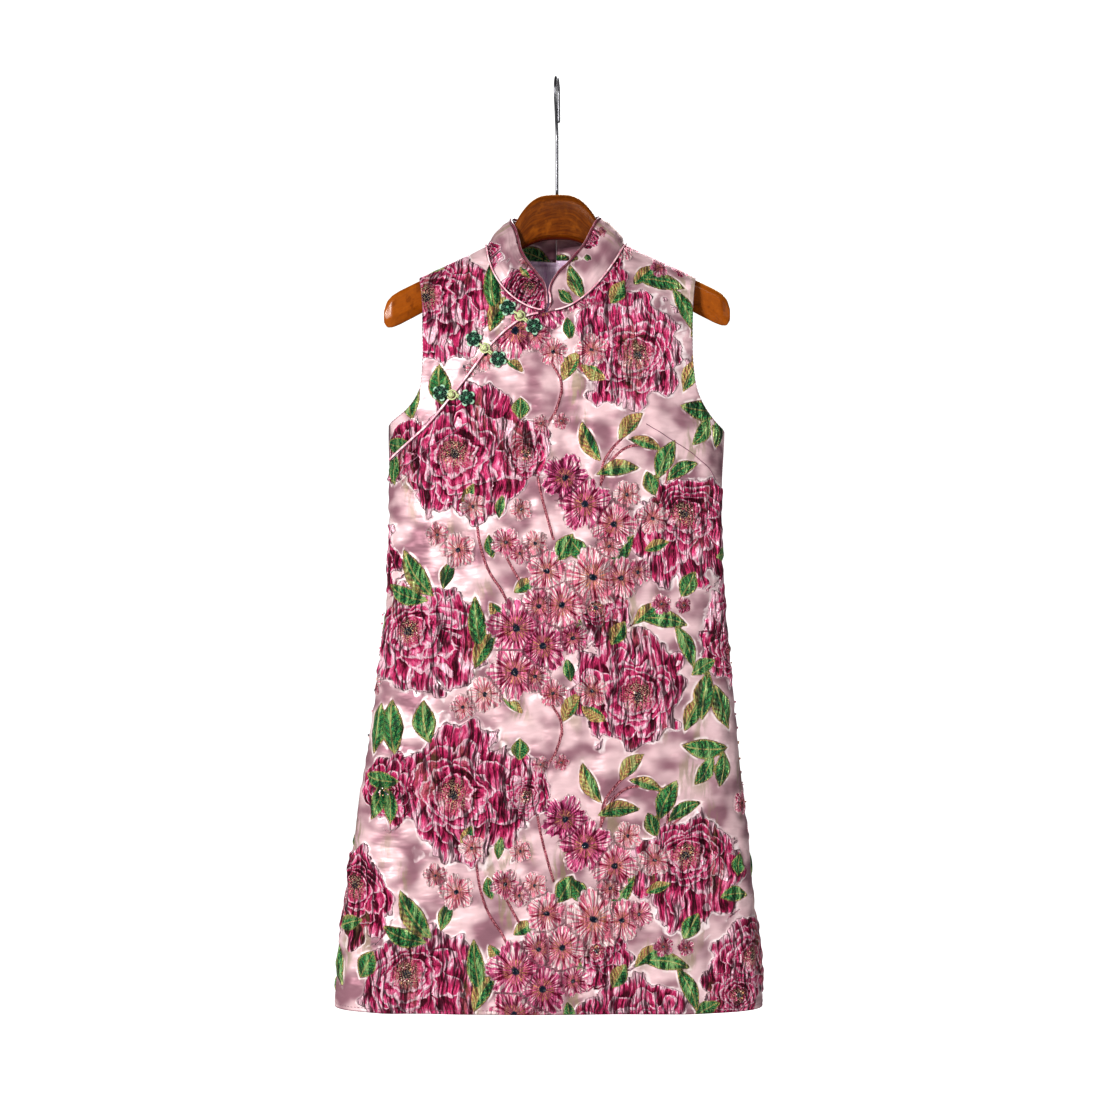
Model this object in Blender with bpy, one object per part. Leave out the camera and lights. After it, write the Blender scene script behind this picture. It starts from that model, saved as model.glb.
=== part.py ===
"""Sleeveless cheongsam dress hanging on a contoured wooden hanger.

Metres, +Z up. The front faces -Y and +X is the wearer's left. The origin is
the inside top of the hanger's hook, where a rail or a peg carries it.
"""
import bpy
import numpy as np

MM = 0.001

# ---- cloth -----------------------------------------------------------------
WALL = 2.0 * MM            # brocade with its lining
SEAM_GAP = 0.4 * MM        # between two sewn panels
SEAT = 0.4 * MM            # between the cloth and what lies on it
HEM_Z = -1079.0 * MM
YOKE_Z = -520.0 * MM       # below it the rows of the panels are level

# The dress from hem to shoulder: height, centre, half width, depth in front
# of and behind the side seams, and how square the section's corners are.
SECTIONS = (
    # z, centre, half_width, front_depth, back_depth, squareness
    (-1079.0, -9.7, 249.0, 62.0, 50.0, 3.6),
    (-1000.0, -8.6, 242.0, 60.0, 49.0, 3.5),
    (-920.0, -7.2, 232.5, 57.5, 47.0, 3.4),
    (-830.0, -5.2, 221.5, 55.0, 45.0, 3.2),
    (-740.0, -3.6, 210.0, 52.5, 43.0, 3.0),
    (-650.0, -2.6, 200.0, 50.5, 41.0, 2.9),
    (-560.0, -1.3, 194.2, 50.0, 40.0, 2.8),
    (-470.0, -1.3, 194.5, 51.0, 40.0, 2.7),
    (-409.0, -0.5, 196.5, 53.0, 42.0, 2.6),
    (-340.0, 0.0, 192.0, 57.0, 45.0, 2.5),
    (-270.0, 0.0, 186.0, 61.0, 48.0, 2.5),
    (-190.0, 0.0, 180.0, 63.0, 49.0, 2.5),
)

# Soft upright folds of the skirt: place at the hem, half breadth and height.
SKIRT_FOLDS = (
    # name, x_at_hem, breadth, height
    ("left turn", -196.0, 16.0, 3.0),
    ("left trough", -150.0, 26.0, -2.4),
    ("middle ridge", -30.0, 40.0, 1.8),
    ("right trough", 70.0, 34.0, -2.0),
    ("right ridge", 150.0, 24.0, 2.2),
)
FOLDS_START_Z = -600.0 * MM

# Fullness that the bust darts give the front: place, radius and height.
BUST_X, BUST_Z, BUST_RADIUS, BUST_HEIGHT = 92.0 * MM, -432.0 * MM, 78.0 * MM, 5.0 * MM

# Puffed peonies of the brocade, raised in the panels' outer points.
PUFF_HEIGHT = 1.3 * MM
FRONT_PEONIES = (
    # x, z, radius
    (95.0, -332.0, 58.0),
    (100.0, -711.0, 62.0),
    (106.0, -1086.0, 60.0),
    (-113.0, -452.0, 54.0),
    (-116.0, -833.0, 68.0),
    (143.0, -508.0, 44.0),
    (152.0, -892.0, 50.0),
    (-165.0, -648.0, 46.0),
    (-206.0, -965.0, 48.0),
    (36.0, -603.0, 56.0),
    (36.0, -980.0, 60.0),
)
BACK_PEONIES = (
    (-95.0, -300.0, 58.0),
    (98.0, -420.0, 62.0),
    (-100.0, -560.0, 60.0),
    (90.0, -700.0, 64.0),
    (-112.0, -830.0, 66.0),
    (110.0, -960.0, 62.0),
    (-60.0, -1050.0, 52.0),
)

# ---- neck, shoulders and armholes ------------------------------------------
SIDE_NECK_LEFT, SIDE_NECK_RIGHT = -82.0 * MM, 80.0 * MM
CENTRE_FRONT_X = -9.0 * MM
CENTRE_BACK_X = -1.0 * MM
FRONT_NECK_Z = -280.0 * MM
BACK_NECK_DROP = 11.0 * MM
NECK_ROUND_LEFT, NECK_ROUND_RIGHT = 1.1, 1.9

# From the shoulder tip to the underarm, on the viewer's left and right.
ARMHOLES = (
    # left_x, left_z, right_x, right_z
    (-160.0, None, 161.0, None),
    (-156.0, -262.0, 158.0, -259.0),
    (-154.8, -296.0, 156.0, -298.0),
    (-154.5, -338.0, 157.0, -340.0),
    (-158.5, -368.0, 161.5, -368.0),
    (-171.0, -387.0, 174.0, -392.0),
    (-187.0, -399.5, 188.0, -407.5),
    (-197.0, -406.0, 196.0, -413.0),
)
BACK_ARMHOLE_EASE = 5.0 * MM    # the back stands wider than the front there

# The curved opening, from the centre front to the side seam under the arm.
PLACKET = (
    # x, z
    (-11.0, -281.2),
    (-32.0, -284.5),
    (-54.0, -298.0),
    (-77.0, -320.0),
    (-100.0, -350.5),
    (-126.5, -383.5),
    (-148.0, -408.0),
    (-168.0, -425.5),
    (-186.0, -441.0),
    (-195.2, -449.5),
)
PLACKET_GAP = 0.8 * MM

# The collar's upper edge against the share of the way from the centre front
# to the centre back.
COLLAR_LEFT = (
    # share, x, y, z
    (0.000, -13.6, -58.0, -271.0),
    (0.067, -16.0, -50.5, -250.0),
    (0.142, -24.0, -43.0, -235.8),
    (0.208, -34.6, -36.0, -221.2),
    (0.294, -42.4, -28.0, -207.5),
    (0.452, -47.5, -16.5, -187.7),
    (0.515, -51.0, -12.0, -177.0),
    (0.550, -54.2, -5.0, -171.0),
    (0.580, -55.8, 2.0, -167.0),
    (0.748, -44.0, 21.0, -163.5),
    (1.000, -1.3, 30.0, -165.0),
)
COLLAR_RIGHT = (
    (0.000, -5.0, -58.0, -271.0),
    (0.084, -4.8, -49.0, -248.3),
    (0.131, 2.6, -42.5, -234.6),
    (0.203, 14.0, -36.0, -222.0),
    (0.288, 25.0, -29.0, -208.5),
    (0.377, 34.0, -22.0, -196.0),
    (0.474, 42.4, -15.0, -178.5),
    (0.530, 47.5, -11.5, -169.5),
    (0.558, 50.8, -5.0, -165.0),
    (0.588, 52.2, 2.0, -162.5),
    (0.738, 42.0, 21.0, -162.0),
    (1.000, -0.7, 30.0, -165.0),
)
COLLAR_SEAM = 0.9 * MM

BINDING_RADIUS = 1.5 * MM
NECK_PIPING_RADIUS = 1.2 * MM
PLACKET_PIPING_RADIUS = 1.5 * MM

# ---- lining under the back neck ---------------------------------------------
LINING_WALL = 1.0 * MM
LINING_FLOOR_Z = -330.0 * MM
LINING_HALF_WIDTH = 50.0 * MM
LINING_FOLDS = (
    # x, breadth, depth
    (-30.0, 10.0, 4.0),
    (-9.0, 7.0, 8.0),
    (7.0, 5.5, 5.0),
    (30.0, 12.0, 3.0),
)

# ---- frogs: two flowers each, on either side of the opening -----------------
FROGS = (
    # name, flower_a_x, flower_a_z, flower_b_x, flower_b_z
    ("frog_1", -55.6, -275.6, -26.0, -297.4),
    ("frog_2", -94.6, -311.0, -66.6, -334.0),
    ("frog_3", -132.6, -371.8, -102.2, -378.0),
)
FLOWER_RADIUS = 10.0 * MM
FLOWER_HEIGHT = 4.6 * MM
KNOT_RADIUS = 3.9 * MM
LOOP_RADIUS = 1.05 * MM

# ---- hanger -----------------------------------------------------------------
HANGER_TILT = 0.006             # the wearer's left arm of it is a little higher
SHOULDER_SLOPE = 0.478
SHOULDER_SEAT = 0.8 * MM
SHOULDER_START = 81.0 * MM
SHOULDER_START_Z = -198.7 * MM
NECK_BLEND = 70.0 * MM          # inside it the line of the shoulders rounds over
ARM_FORWARD = 9.0 * MM          # the arms' ends curve forward
HANGER_HALF_THICKNESS = 6.5 * MM
HANGER_OUTLINE = (
    # x, top, bottom
    (0.0, -135.4, -188.0),
    (11.0, -135.8, -188.4),
    (21.0, -138.2, -190.4),
    (30.0, -143.6, -193.6),
    (37.0, -150.6, -197.2),
    (44.0, -160.2, -201.4),
    (50.0, -171.4, -205.2),
    (55.0, -181.8, -208.4),
    (61.0, -189.8, -212.2),
    (70.0, -194.6, -217.8),
    (81.0, -198.7, -224.8),
    (100.0, -207.8, -237.0),
    (130.0, -222.1, -256.0),
    (157.0, -235.0, -273.0),
    (174.0, -243.4, -282.2),
    (186.0, -249.8, -288.2),
    (194.0, -256.0, -290.6),
    (198.6, -262.6, -289.6),
    (201.3, -271.5, -285.0),
)
TOP_CROWN, LOWER_BEVEL = 7.0 * MM, 10.5 * MM

HOOK_WIRE = 1.75 * MM
HOOK_BEND = 16.0 * MM           # radius of the wire's centre line
HOOK_BASE_Z, HOOK_BEND_START, HOOK_TIP_Z = -135.0 * MM, -72.0 * MM, -46.0 * MM
HOOK_TURN = np.radians(7.0)     # the hook's plane is almost square to the dress

# Cells across and up the panels: even numbers, as the inside has half of them.
# They are closer together where the cloth turns over the hanger.
NECK_SHARES = (0.0, 0.1, 0.25, 0.43, 0.62, 0.8, 0.925, 0.98, 1.0)
ARMHOLE_SHARES = (0.0, 0.02, 0.065, 0.17, 0.33, 0.50, 0.67, 0.84, 1.0)
NECK_CELLS, SHOULDER_CELLS, ARMHOLE_CELLS = 8, 4, 8
SIDE_CELLS = NECK_CELLS + SHOULDER_CELLS + ARMHOLE_CELLS
SKIRT_ROWS, YOKE_ROWS = 32, 16
GATHER_Z = -880.0 * MM     # from here up the columns gather to their places at the yoke
YOKE_PLACES = (
    # shares of the half width, for the columns below the neck, shoulder and armhole
    0.0, 0.055, 0.11, 0.165, 0.22, 0.275, 0.33, 0.385,
    0.44, 0.465, 0.49, 0.515,
    0.54, 0.56, 0.59, 0.63, 0.685, 0.75, 0.83, 0.955, 1.0,
)


def smooth(x, knots, values):
    """Cubic Hermite curve through a table's rows, with central slopes."""
    knots, values = np.asarray(knots, float), np.asarray(values, float)
    slopes = np.gradient(values, knots)
    i = np.clip(np.searchsorted(knots, x) - 1, 0, len(knots) - 2)
    step = knots[i + 1] - knots[i]
    u = np.clip((x - knots[i]) / step, 0.0, 1.0)
    return ((2 * u**3 - 3 * u**2 + 1) * values[i] + (u**3 - 2 * u**2 + u) * step * slopes[i]
            + (3 * u**2 - 2 * u**3) * values[i + 1] + (u**3 - u**2) * step * slopes[i + 1])


def smooth_path(points, share):
    """A smooth curve through points, read at shares of its length."""
    points = np.asarray(points, float)
    chord = np.concatenate(([0.0], np.cumsum(np.linalg.norm(np.diff(points, axis=0), axis=1))))
    chord /= chord[-1]
    fine = np.linspace(0.0, 1.0, 400)
    curve = np.stack([smooth(fine, chord, points[:, k]) for k in range(points.shape[1])], 1)
    run = np.concatenate(([0.0], np.cumsum(np.linalg.norm(np.diff(curve, axis=0), axis=1))))
    run /= run[-1]
    return np.stack([np.interp(share, run, curve[:, k]) for k in range(points.shape[1])], 1)


def fade(x, low, high):
    """0 below low, 1 above high and an S-curve between."""
    u = np.clip((x - low) / (high - low), 0.0, 1.0)
    return u * u * (3.0 - 2.0 * u)


# ---- the surface of the dress -----------------------------------------------
def section(z):
    """Centre, half width, front and back depth and squareness at a height."""
    table = np.asarray(SECTIONS)
    rows = [smooth(np.asarray(z) / MM, table[:, 0], table[:, k]) for k in range(1, 6)]
    return rows[0] * MM, rows[1] * MM, rows[2] * MM, rows[3] * MM, rows[4]


def shoulder_z(x):
    """Height of the shoulder seam, which rests on the hanger's arms."""
    far = np.abs(x)
    reach = np.where(far < NECK_BLEND, 0.5 * (far * far / NECK_BLEND + NECK_BLEND), far)
    top = SHOULDER_START_Z - SHOULDER_SLOPE * (reach - SHOULDER_START)
    return top + HANGER_TILT * x + WALL + SHOULDER_SEAT


def arm_forward(x):
    """How far the hanger's arm lies in front of the hook."""
    return ARM_FORWARD * (x / (200.0 * MM)) ** 2


def angle_at(x, z):
    """The angle on the section, 0 at +X and pi at -X, of a place across it."""
    centre, half_width, _, _, square = section(z)
    ratio = np.clip((x - centre) / half_width, -1.0, 1.0)
    rise = (1.0 - np.abs(ratio) ** square) ** (1.0 / square)
    return np.arctan2(rise, ratio)


def cloth(angle, z, front):
    """A point of the dress's outer face. Across, a squared ellipse; near the
    shoulder its depth narrows to the rounded top of the hanger's arm."""
    centre, half_width, front_depth, back_depth, square = section(z)
    cos, sin = np.cos(angle), np.sin(angle)
    scale = (np.abs(cos) ** square + np.abs(sin) ** square) ** (-1.0 / square)
    x = centre + half_width * cos * scale
    drop = np.maximum(shoulder_z(x) - z, 0.0)
    over_arm = 13.0 * MM
    edge = np.sqrt(np.maximum(over_arm**2 - np.maximum(over_arm - drop, 0.0) ** 2, 0.0))
    reach = (150.0 if front else 80.0) * MM
    open_out = 1.0 - np.maximum(1.0 - drop / reach, 0.0) ** 2.2
    depth = (front_depth if front else back_depth) * sin * scale
    if front:
        depth = depth + sin * bust(x, z)
    depth = depth + sin * skirt_folds(x, z, front)
    depth = edge * (1.0 - open_out) + depth * open_out
    ahead = arm_forward(x) * (1.0 - open_out)
    y = -ahead - depth if front else -ahead + depth
    return np.stack([x, y, z + 0.0 * x], -1)


def bust(x, z):
    """Fullness over the darts."""
    reach = np.hypot(np.abs(x) - BUST_X, 0.8 * (z - BUST_Z)) / BUST_RADIUS
    return BUST_HEIGHT * (1.0 - fade(reach, 0.0, 1.0))


def skirt_folds(x, z, front):
    """Upright folds that grow from the hip to the hem and spread with it."""
    centre, half_width, _, _, _ = section(z)
    hem_centre, hem_width = section(HEM_Z)[:2]
    grow = fade(-z, -FOLDS_START_Z, -HEM_Z)
    across = (x - centre) / half_width * hem_width + hem_centre
    wave = 0.0 * x
    for _, place, breadth, height in SKIRT_FOLDS:
        place = place if front else -place
        wave = wave + height * MM * np.exp(-(((across - place * MM) / (breadth * MM)) ** 2))
    return wave * grow


def puff(x, z, peonies):
    """Height of the puffed flowers above the ground of the brocade."""
    height = 0.0 * x
    for place_x, place_z, radius in peonies:
        far_x, far_z = x - place_x * MM, z - place_z * MM
        lobes = 1.0 + 0.07 * np.cos(5.0 * np.arctan2(far_z, far_x))
        far = np.hypot(far_x, far_z) / (radius * MM * lobes)
        height = np.maximum(height, PUFF_HEIGHT * (1.0 - fade(far, 0.7, 1.05)))
    return height


def normals(points):
    """Unit normals of a grid of points."""
    across = np.gradient(points, axis=0)
    along = np.gradient(points, axis=1)
    normal = np.cross(across, along)
    return normal / np.linalg.norm(normal, axis=-1, keepdims=True)


def front_at(x, z):
    """Point and outward normal of the front at a place given by x and z."""
    x, z = np.asarray(x, float), np.asarray(z, float)
    step = 1.0 * MM

    def raised(at_x, at_z):
        """The front with its puffed flowers."""
        point = cloth(angle_at(at_x, at_z), at_z, True)
        point[..., 1] -= puff(at_x, at_z, FRONT_PEONIES)
        return point

    across = raised(x + step, z) - raised(x - step, z)
    along = raised(x, z + step) - raised(x, z - step)
    normal = np.cross(across, along)
    return raised(x, z), normal / np.linalg.norm(normal, axis=-1, keepdims=True)


# ---- meshes ------------------------------------------------------------------
def material(name, color, roughness, metallic=0.0):
    """A plain material of the piece's colour."""
    made = bpy.data.materials.new(name)
    made.use_nodes = True
    shader = made.node_tree.nodes["Principled BSDF"]
    shader.inputs["Base Color"].default_value = (*color, 1.0)
    shader.inputs["Roughness"].default_value = roughness
    shader.inputs["Metallic"].default_value = metallic
    return made


def add_object(name, points, faces, look):
    """A mesh object named for its piece."""
    mesh = bpy.data.meshes.new(name)
    mesh.from_pydata([tuple(point) for point in points], [], faces)
    mesh.materials.append(look)
    mesh.shade_smooth()
    mesh.set_sharp_from_angle(angle=np.radians(40.0))
    made = bpy.data.objects.new(name, mesh)
    bpy.context.scene.collection.objects.link(made)
    return made


def grid_faces(across, up, start, flip):
    """Two triangles for each cell of a grid of points."""
    faces = []
    for i in range(across):
        for j in range(up):
            a = start + i * (up + 1) + j
            b, c, d = a + up + 1, a + up + 2, a + 1
            pair = [(a, b, c), (a, c, d)]
            faces += [face[::-1] for face in pair] if flip else pair
    return faces


def border(across, up):
    """Places of a grid's border points, once round."""
    loop = [(i, 0) for i in range(across)]
    loop += [(across, j) for j in range(up)]
    loop += [(i, up) for i in range(across, 0, -1)]
    return loop + [(0, j) for j in range(up, 0, -1)]


def sheet(name, outer, inner, look, flip=False):
    """A closed thin wall whose two faces have the same grid."""
    across, up = outer.shape[0] - 1, outer.shape[1] - 1
    inside = outer.shape[0] * outer.shape[1]
    faces = grid_faces(across, up, 0, flip) + grid_faces(across, up, inside, not flip)
    loop = [i * (up + 1) + j for i, j in border(across, up)]
    for first, last in zip(loop, loop[1:] + loop[:1]):
        rim = [(last, first, inside + first), (last, inside + first, inside + last)]
        faces += [face[::-1] for face in rim] if flip else rim
    points = np.concatenate([outer.reshape(-1, 3), inner.reshape(-1, 3)])
    return add_object(name, points, faces, look)


def panel(name, outer, inner, look, flip=False):
    """A closed wall: a fine outer grid, an inner grid of every second point,
    and a rim of triangles that joins their borders."""
    across, up = outer.shape[0] - 1, outer.shape[1] - 1
    coarse = inner[::2, ::2]
    inside = outer.shape[0] * outer.shape[1]
    points = np.concatenate([outer.reshape(-1, 3), coarse.reshape(-1, 3)])
    faces = grid_faces(across, up, 0, flip)
    faces += grid_faces(across // 2, up // 2, inside, not flip)
    loop = border(across, up)
    for k in range(0, len(loop), 2):
        first, middle, last = loop[k], loop[k + 1], loop[(k + 2) % len(loop)]
        o1, o2, o3 = (i * (up + 1) + j for i, j in (first, middle, last))
        n1, n3 = (inside + i // 2 * (up // 2 + 1) + j // 2 for i, j in (first, last))
        rim = [(o2, o1, n1), (o2, n1, n3), (o3, o2, n3)]
        faces += [face[::-1] for face in rim] if flip else rim
    return add_object(name, points, faces, look)


def tube(name, path, radius, sides, look):
    """A round rod along a path, its ends closed. The ring is carried along
    the path without twist."""
    path = np.asarray(path, float)
    radius = np.broadcast_to(radius, len(path))
    tangent = np.gradient(path, axis=0)
    tangent /= np.linalg.norm(tangent, axis=1, keepdims=True)
    start = np.eye(3)[np.argmin(np.abs(tangent[0]))]
    side = np.cross(tangent[0], start)
    turn = np.linspace(0.0, 2.0 * np.pi, sides, endpoint=False)[:, None]
    rings = []
    for point, along, size in zip(path, tangent, radius):
        side = side - along * np.dot(side, along)
        side /= np.linalg.norm(side)
        other = np.cross(along, side)
        rings.append(point + size * (np.cos(turn) * side + np.sin(turn) * other))
    points = np.concatenate(rings + [path[:1], path[-1:]])
    faces = []
    for k in range(len(path) - 1):
        for s in range(sides):
            a, b = k * sides + s, k * sides + (s + 1) % sides
            faces += [(a, b, b + sides), (a, b + sides, a + sides)]
    first, last = len(points) - 2, len(points) - 1
    end = (len(path) - 1) * sides
    for s in range(sides):
        faces += [(first, (s + 1) % sides, s), (last, end + s, end + (s + 1) % sides)]
    return add_object(name, points, faces, look)


# ---- edges of the panels -------------------------------------------------------
def neckline(share, right):
    """Front neckline in x and z: share 0 at the centre front, 1 at the side."""
    turn = share * np.pi / 2.0
    side = SIDE_NECK_RIGHT if right else SIDE_NECK_LEFT
    power = NECK_ROUND_RIGHT if right else NECK_ROUND_LEFT
    x = CENTRE_FRONT_X + (side - CENTRE_FRONT_X) * np.sin(turn)
    z = shoulder_z(side) + (FRONT_NECK_Z - shoulder_z(side)) * np.cos(turn) ** power
    return np.stack([x, z], 1)


def back_neckline(share, right):
    """Back neckline: share 0 at the centre back, 1 at the side."""
    side = SIDE_NECK_RIGHT if right else SIDE_NECK_LEFT
    x = CENTRE_BACK_X + (side - CENTRE_BACK_X) * share
    return np.stack([x, shoulder_z(side) - BACK_NECK_DROP * (1.0 - share**2.5)], 1)


def armhole(share, right, ease=0.0):
    """Armhole: share 0 at the shoulder tip, 1 at the underarm."""
    columns = (2, 3) if right else (0, 1)
    tip_x = ARMHOLES[0][columns[0]] * MM
    points = [(tip_x, float(shoulder_z(tip_x)))]
    points += [(row[columns[0]] * MM, row[columns[1]] * MM) for row in ARMHOLES[1:]]
    path = smooth_path(points, share)
    path[:, 0] += ease * np.sin(np.pi * share) ** 2
    return path


def shoulder(share, right):
    """Shoulder seam: share 0 at the neck, 1 at the tip."""
    neck = SIDE_NECK_RIGHT if right else SIDE_NECK_LEFT
    tip = ARMHOLES[0][2 if right else 0] * MM
    x = neck + (tip - neck) * share
    return np.stack([x, shoulder_z(x)], 1)


def placket_line(share):
    """The curved opening: share 0 at the centre front, 1 at the side seam."""
    return smooth_path(np.asarray(PLACKET) * MM, share)


def upper_edge(neck, right, ease=0.0):
    """Neckline, shoulder and armhole as one run of points, neck first."""
    seam = shoulder(np.linspace(0.0, 1.0, SHOULDER_CELLS + 1), right)
    arm = armhole(np.array(ARMHOLE_SHARES), right, ease)
    return np.concatenate([neck(np.array(NECK_SHARES), right), seam[1:], arm[1:]])


def hem_angles():
    """Angles of a panel's columns at the hem from its middle to its side seam,
    closer together where the section turns."""
    angle = np.linspace(np.pi / 2.0, 0.0, 800)
    points = cloth(angle, np.full(800, -740.0 * MM), True)[:, :2]
    step = np.diff(points, axis=0)
    length = np.linalg.norm(step, axis=1)
    heading = np.unwrap(np.arctan2(step[:, 1], step[:, 0]))
    weight = length / length.sum() + 0.32 * np.abs(np.gradient(heading)) / np.ptp(heading)
    run = np.concatenate(([0.0], np.cumsum(weight)))
    return np.interp(np.linspace(0.0, run[-1], SIDE_CELLS + 1), run, angle)


def yoke_angles():
    """Angles of the columns at the yoke, where they stand so far in that each
    reaches its place on the armhole without passing outside it."""
    centre, half_width = section(YOKE_Z)[:2]
    x = centre + half_width * np.array(YOKE_PLACES)
    return angle_at(x, np.full_like(x, YOKE_Z))


def half_rows(top, right, front, middle_x):
    """Grid of (angle, z) for one half of a panel, from its middle column to
    its side seam and from the hem to the upper edge."""
    low = np.linspace(HEM_Z, YOKE_Z, SKIRT_ROWS + 1)
    gather = fade(low, GATHER_Z, YOKE_Z)[None, :]
    hem, yoke = hem_angles()[:, None], yoke_angles()[:, None]
    low_angle = hem + (yoke - hem) * gather
    if not right:
        low_angle = np.pi - low_angle
    share = 1.0 - (1.0 - np.linspace(0.0, 1.0, YOKE_ROWS + 1)[1:]) ** 2.0
    low_middle = angle_at(np.full_like(low, middle_x), low)
    turn_in = (1.0 - np.arange(SIDE_CELLS + 1) / SIDE_CELLS)[:, None] ** 2
    lower = low_angle + (low_middle[None, :] - low_angle[:1]) * turn_in
    z_low = np.repeat(low[None, :], SIDE_CELLS + 1, 0)
    z_up = YOKE_Z + (top[:, 1:2] - YOKE_Z) * share[None, :]
    yoke_x = cloth(lower[:, -1], z_low[:, -1], front)[:, :1]
    upper = angle_at(yoke_x + (top[:, :1] - yoke_x) * share[None, :], z_up)
    upper[-1] = 0.0 if right else np.pi
    return np.concatenate([lower, upper], 1), np.concatenate([z_low, z_up], 1)


def finish_wall(outer, normal, flats):
    """Inner points of a wall. At each named edge the wall ends square to the
    seam's plane, so its neighbour's wall meets it without crossing."""
    for index, axis in flats:
        edge = normal[index]
        edge[..., axis] = 0.0
        normal[index] = edge / np.linalg.norm(edge, axis=-1, keepdims=True)
    return outer - WALL * normal


def part_seam(points, index, axis, shift):
    """Moves the points of an edge off the seam by half of its gap."""
    points[index][..., axis] += shift


# ---- the pieces ------------------------------------------------------------------
def front_grid():
    """Angles and heights of the whole front panel, left to right."""
    placket = placket_line(np.array(YOKE_PLACES))
    right_top = upper_edge(neckline, True)
    left_angle, left_z = half_rows(placket, False, True, CENTRE_FRONT_X)
    right_angle, right_z = half_rows(right_top, True, True, CENTRE_FRONT_X)
    angle = np.concatenate([left_angle[::-1], right_angle[1:]])
    z = np.concatenate([left_z[::-1], right_z[1:]])
    return angle, z


def add_front_main(look):
    """Large front: hem to the curved opening, and up to the right shoulder."""
    angle, z = front_grid()
    base = cloth(angle, z, True)
    normal = normals(base)
    seam = slice(0, SIDE_CELLS)
    base[seam, -1, 2] -= PLACKET_GAP * 0.5
    base[seam, -1, 0] += PLACKET_GAP * 0.35
    tip = SIDE_CELLS + NECK_CELLS
    on_shoulder = (slice(tip, tip + SHOULDER_CELLS + 1), -1)
    part_seam(base, (0,), 1, -SEAM_GAP / 2)
    part_seam(base, (-1,), 1, -SEAM_GAP / 2)
    part_seam(base, on_shoulder, 1, -SEAM_GAP / 2)
    flats = (((0,), 1), ((-1,), 1), (on_shoulder, 1))
    inner = finish_wall(base, normal, flats)
    raised = puff(base[..., 0], base[..., 2], FRONT_PEONIES) * inside_border(base.shape)
    panel("front_main", base + normal * raised[..., None], inner, look)
    neck = (slice(SIDE_CELLS, tip + 1), -1)
    return base[neck], inner[neck] - base[neck]


def inside_border(shape):
    """1 inside a grid and 0 on its border, so that seams stay unraised."""
    mask = np.zeros(shape[:2])
    mask[1:-1, 1:-1] = 1.0
    return mask


def add_front_shoulder(look):
    """Small front above the opening, over the shoulder on the left."""
    low = placket_line(np.array(YOKE_PLACES))
    top = upper_edge(neckline, False)
    low[:, 1] += PLACKET_GAP * 0.5
    low[:, 0] -= PLACKET_GAP * 0.35
    top[0] = low[0] + np.array([-2.0, 0.0]) * MM + np.array([0.0, 2.4]) * MM
    low[0, 0] -= 2.0 * MM
    share = 1.0 - (1.0 - np.linspace(0.0, 1.0, 13)) ** 2.0
    x, z = (low[:, k:k + 1] + (top[:, k:k + 1] - low[:, k:k + 1]) * share for k in (0, 1))
    angle = angle_at(x, z)
    angle[-1] = np.pi
    base = cloth(angle, z, True)
    normal = normals(base)
    on_shoulder = (slice(NECK_CELLS, NECK_CELLS + SHOULDER_CELLS + 1), -1)
    part_seam(base, (-1,), 1, -SEAM_GAP / 2)
    part_seam(base, on_shoulder, 1, -SEAM_GAP / 2)
    inner = finish_wall(base, -normal, (((-1,), 1), (on_shoulder, 1)))
    panel("front_shoulder", base, inner, look, flip=True)
    neck = (slice(0, NECK_CELLS + 1), -1)
    return base[neck], inner[neck] - base[neck]


def add_back(name, right, look):
    """One half of the back."""
    ease = BACK_ARMHOLE_EASE if right else 0.0
    top = upper_edge(back_neckline, right, ease)
    angle, z = half_rows(top, right, False, CENTRE_BACK_X)
    base = cloth(angle, z, False)
    normal = normals(base) * (1.0 if right else -1.0)
    outward = 1.0 if normal[2, 2, 1] > 0 else -1.0
    normal *= outward
    on_shoulder = (slice(NECK_CELLS, NECK_CELLS + SHOULDER_CELLS + 1), -1)
    part_seam(base, (-1,), 1, SEAM_GAP / 2)
    part_seam(base, on_shoulder, 1, SEAM_GAP / 2)
    part_seam(base, (0,), 0, (1.0 if right else -1.0) * SEAM_GAP / 2)
    inner = finish_wall(base, normal, (((-1,), 1), (on_shoulder, 1), ((0,), 0)))
    raised = puff(base[..., 0], base[..., 2], BACK_PEONIES) * inside_border(base.shape)
    panel(name, base + normal * raised[..., None], inner, look, flip=right)
    neck = (slice(0, NECK_CELLS + 1), -1)
    return base[neck], inner[neck] - base[neck]


def add_back_lining(look):
    """Lining under the back neck, hanging in a few soft folds inside the back."""
    x = np.linspace(-LINING_HALF_WIDTH, LINING_HALF_WIDTH, 17)[:, None]
    share = np.linspace(0.0, 1.0, 9)[None, :]
    side = np.where(x > 0.0, SIDE_NECK_RIGHT, SIDE_NECK_LEFT)
    edge = shoulder_z(side) - BACK_NECK_DROP * (1.0 - np.abs(x / side) ** 2.5)
    z = edge - 4.0 * MM + (LINING_FLOOR_Z - edge) * share
    x = x + 0.0 * z
    base = cloth(angle_at(x, z), z, False)
    normal = normals(base)
    normal *= np.sign(normal[8, 4, 1])
    fold = sum(depth * MM * np.exp(-(((x - place * MM) / (breadth * MM)) ** 2))
               for place, breadth, depth in LINING_FOLDS)
    fold = fold * fade(share, 0.0, 0.25) * fade(LINING_HALF_WIDTH - np.abs(x), 0.0, 14.0 * MM)
    outer = base - normal * (WALL + 1.9 * MM + fold)[..., None]
    sheet("back_lining", outer, outer - LINING_WALL * normal, look)


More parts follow.
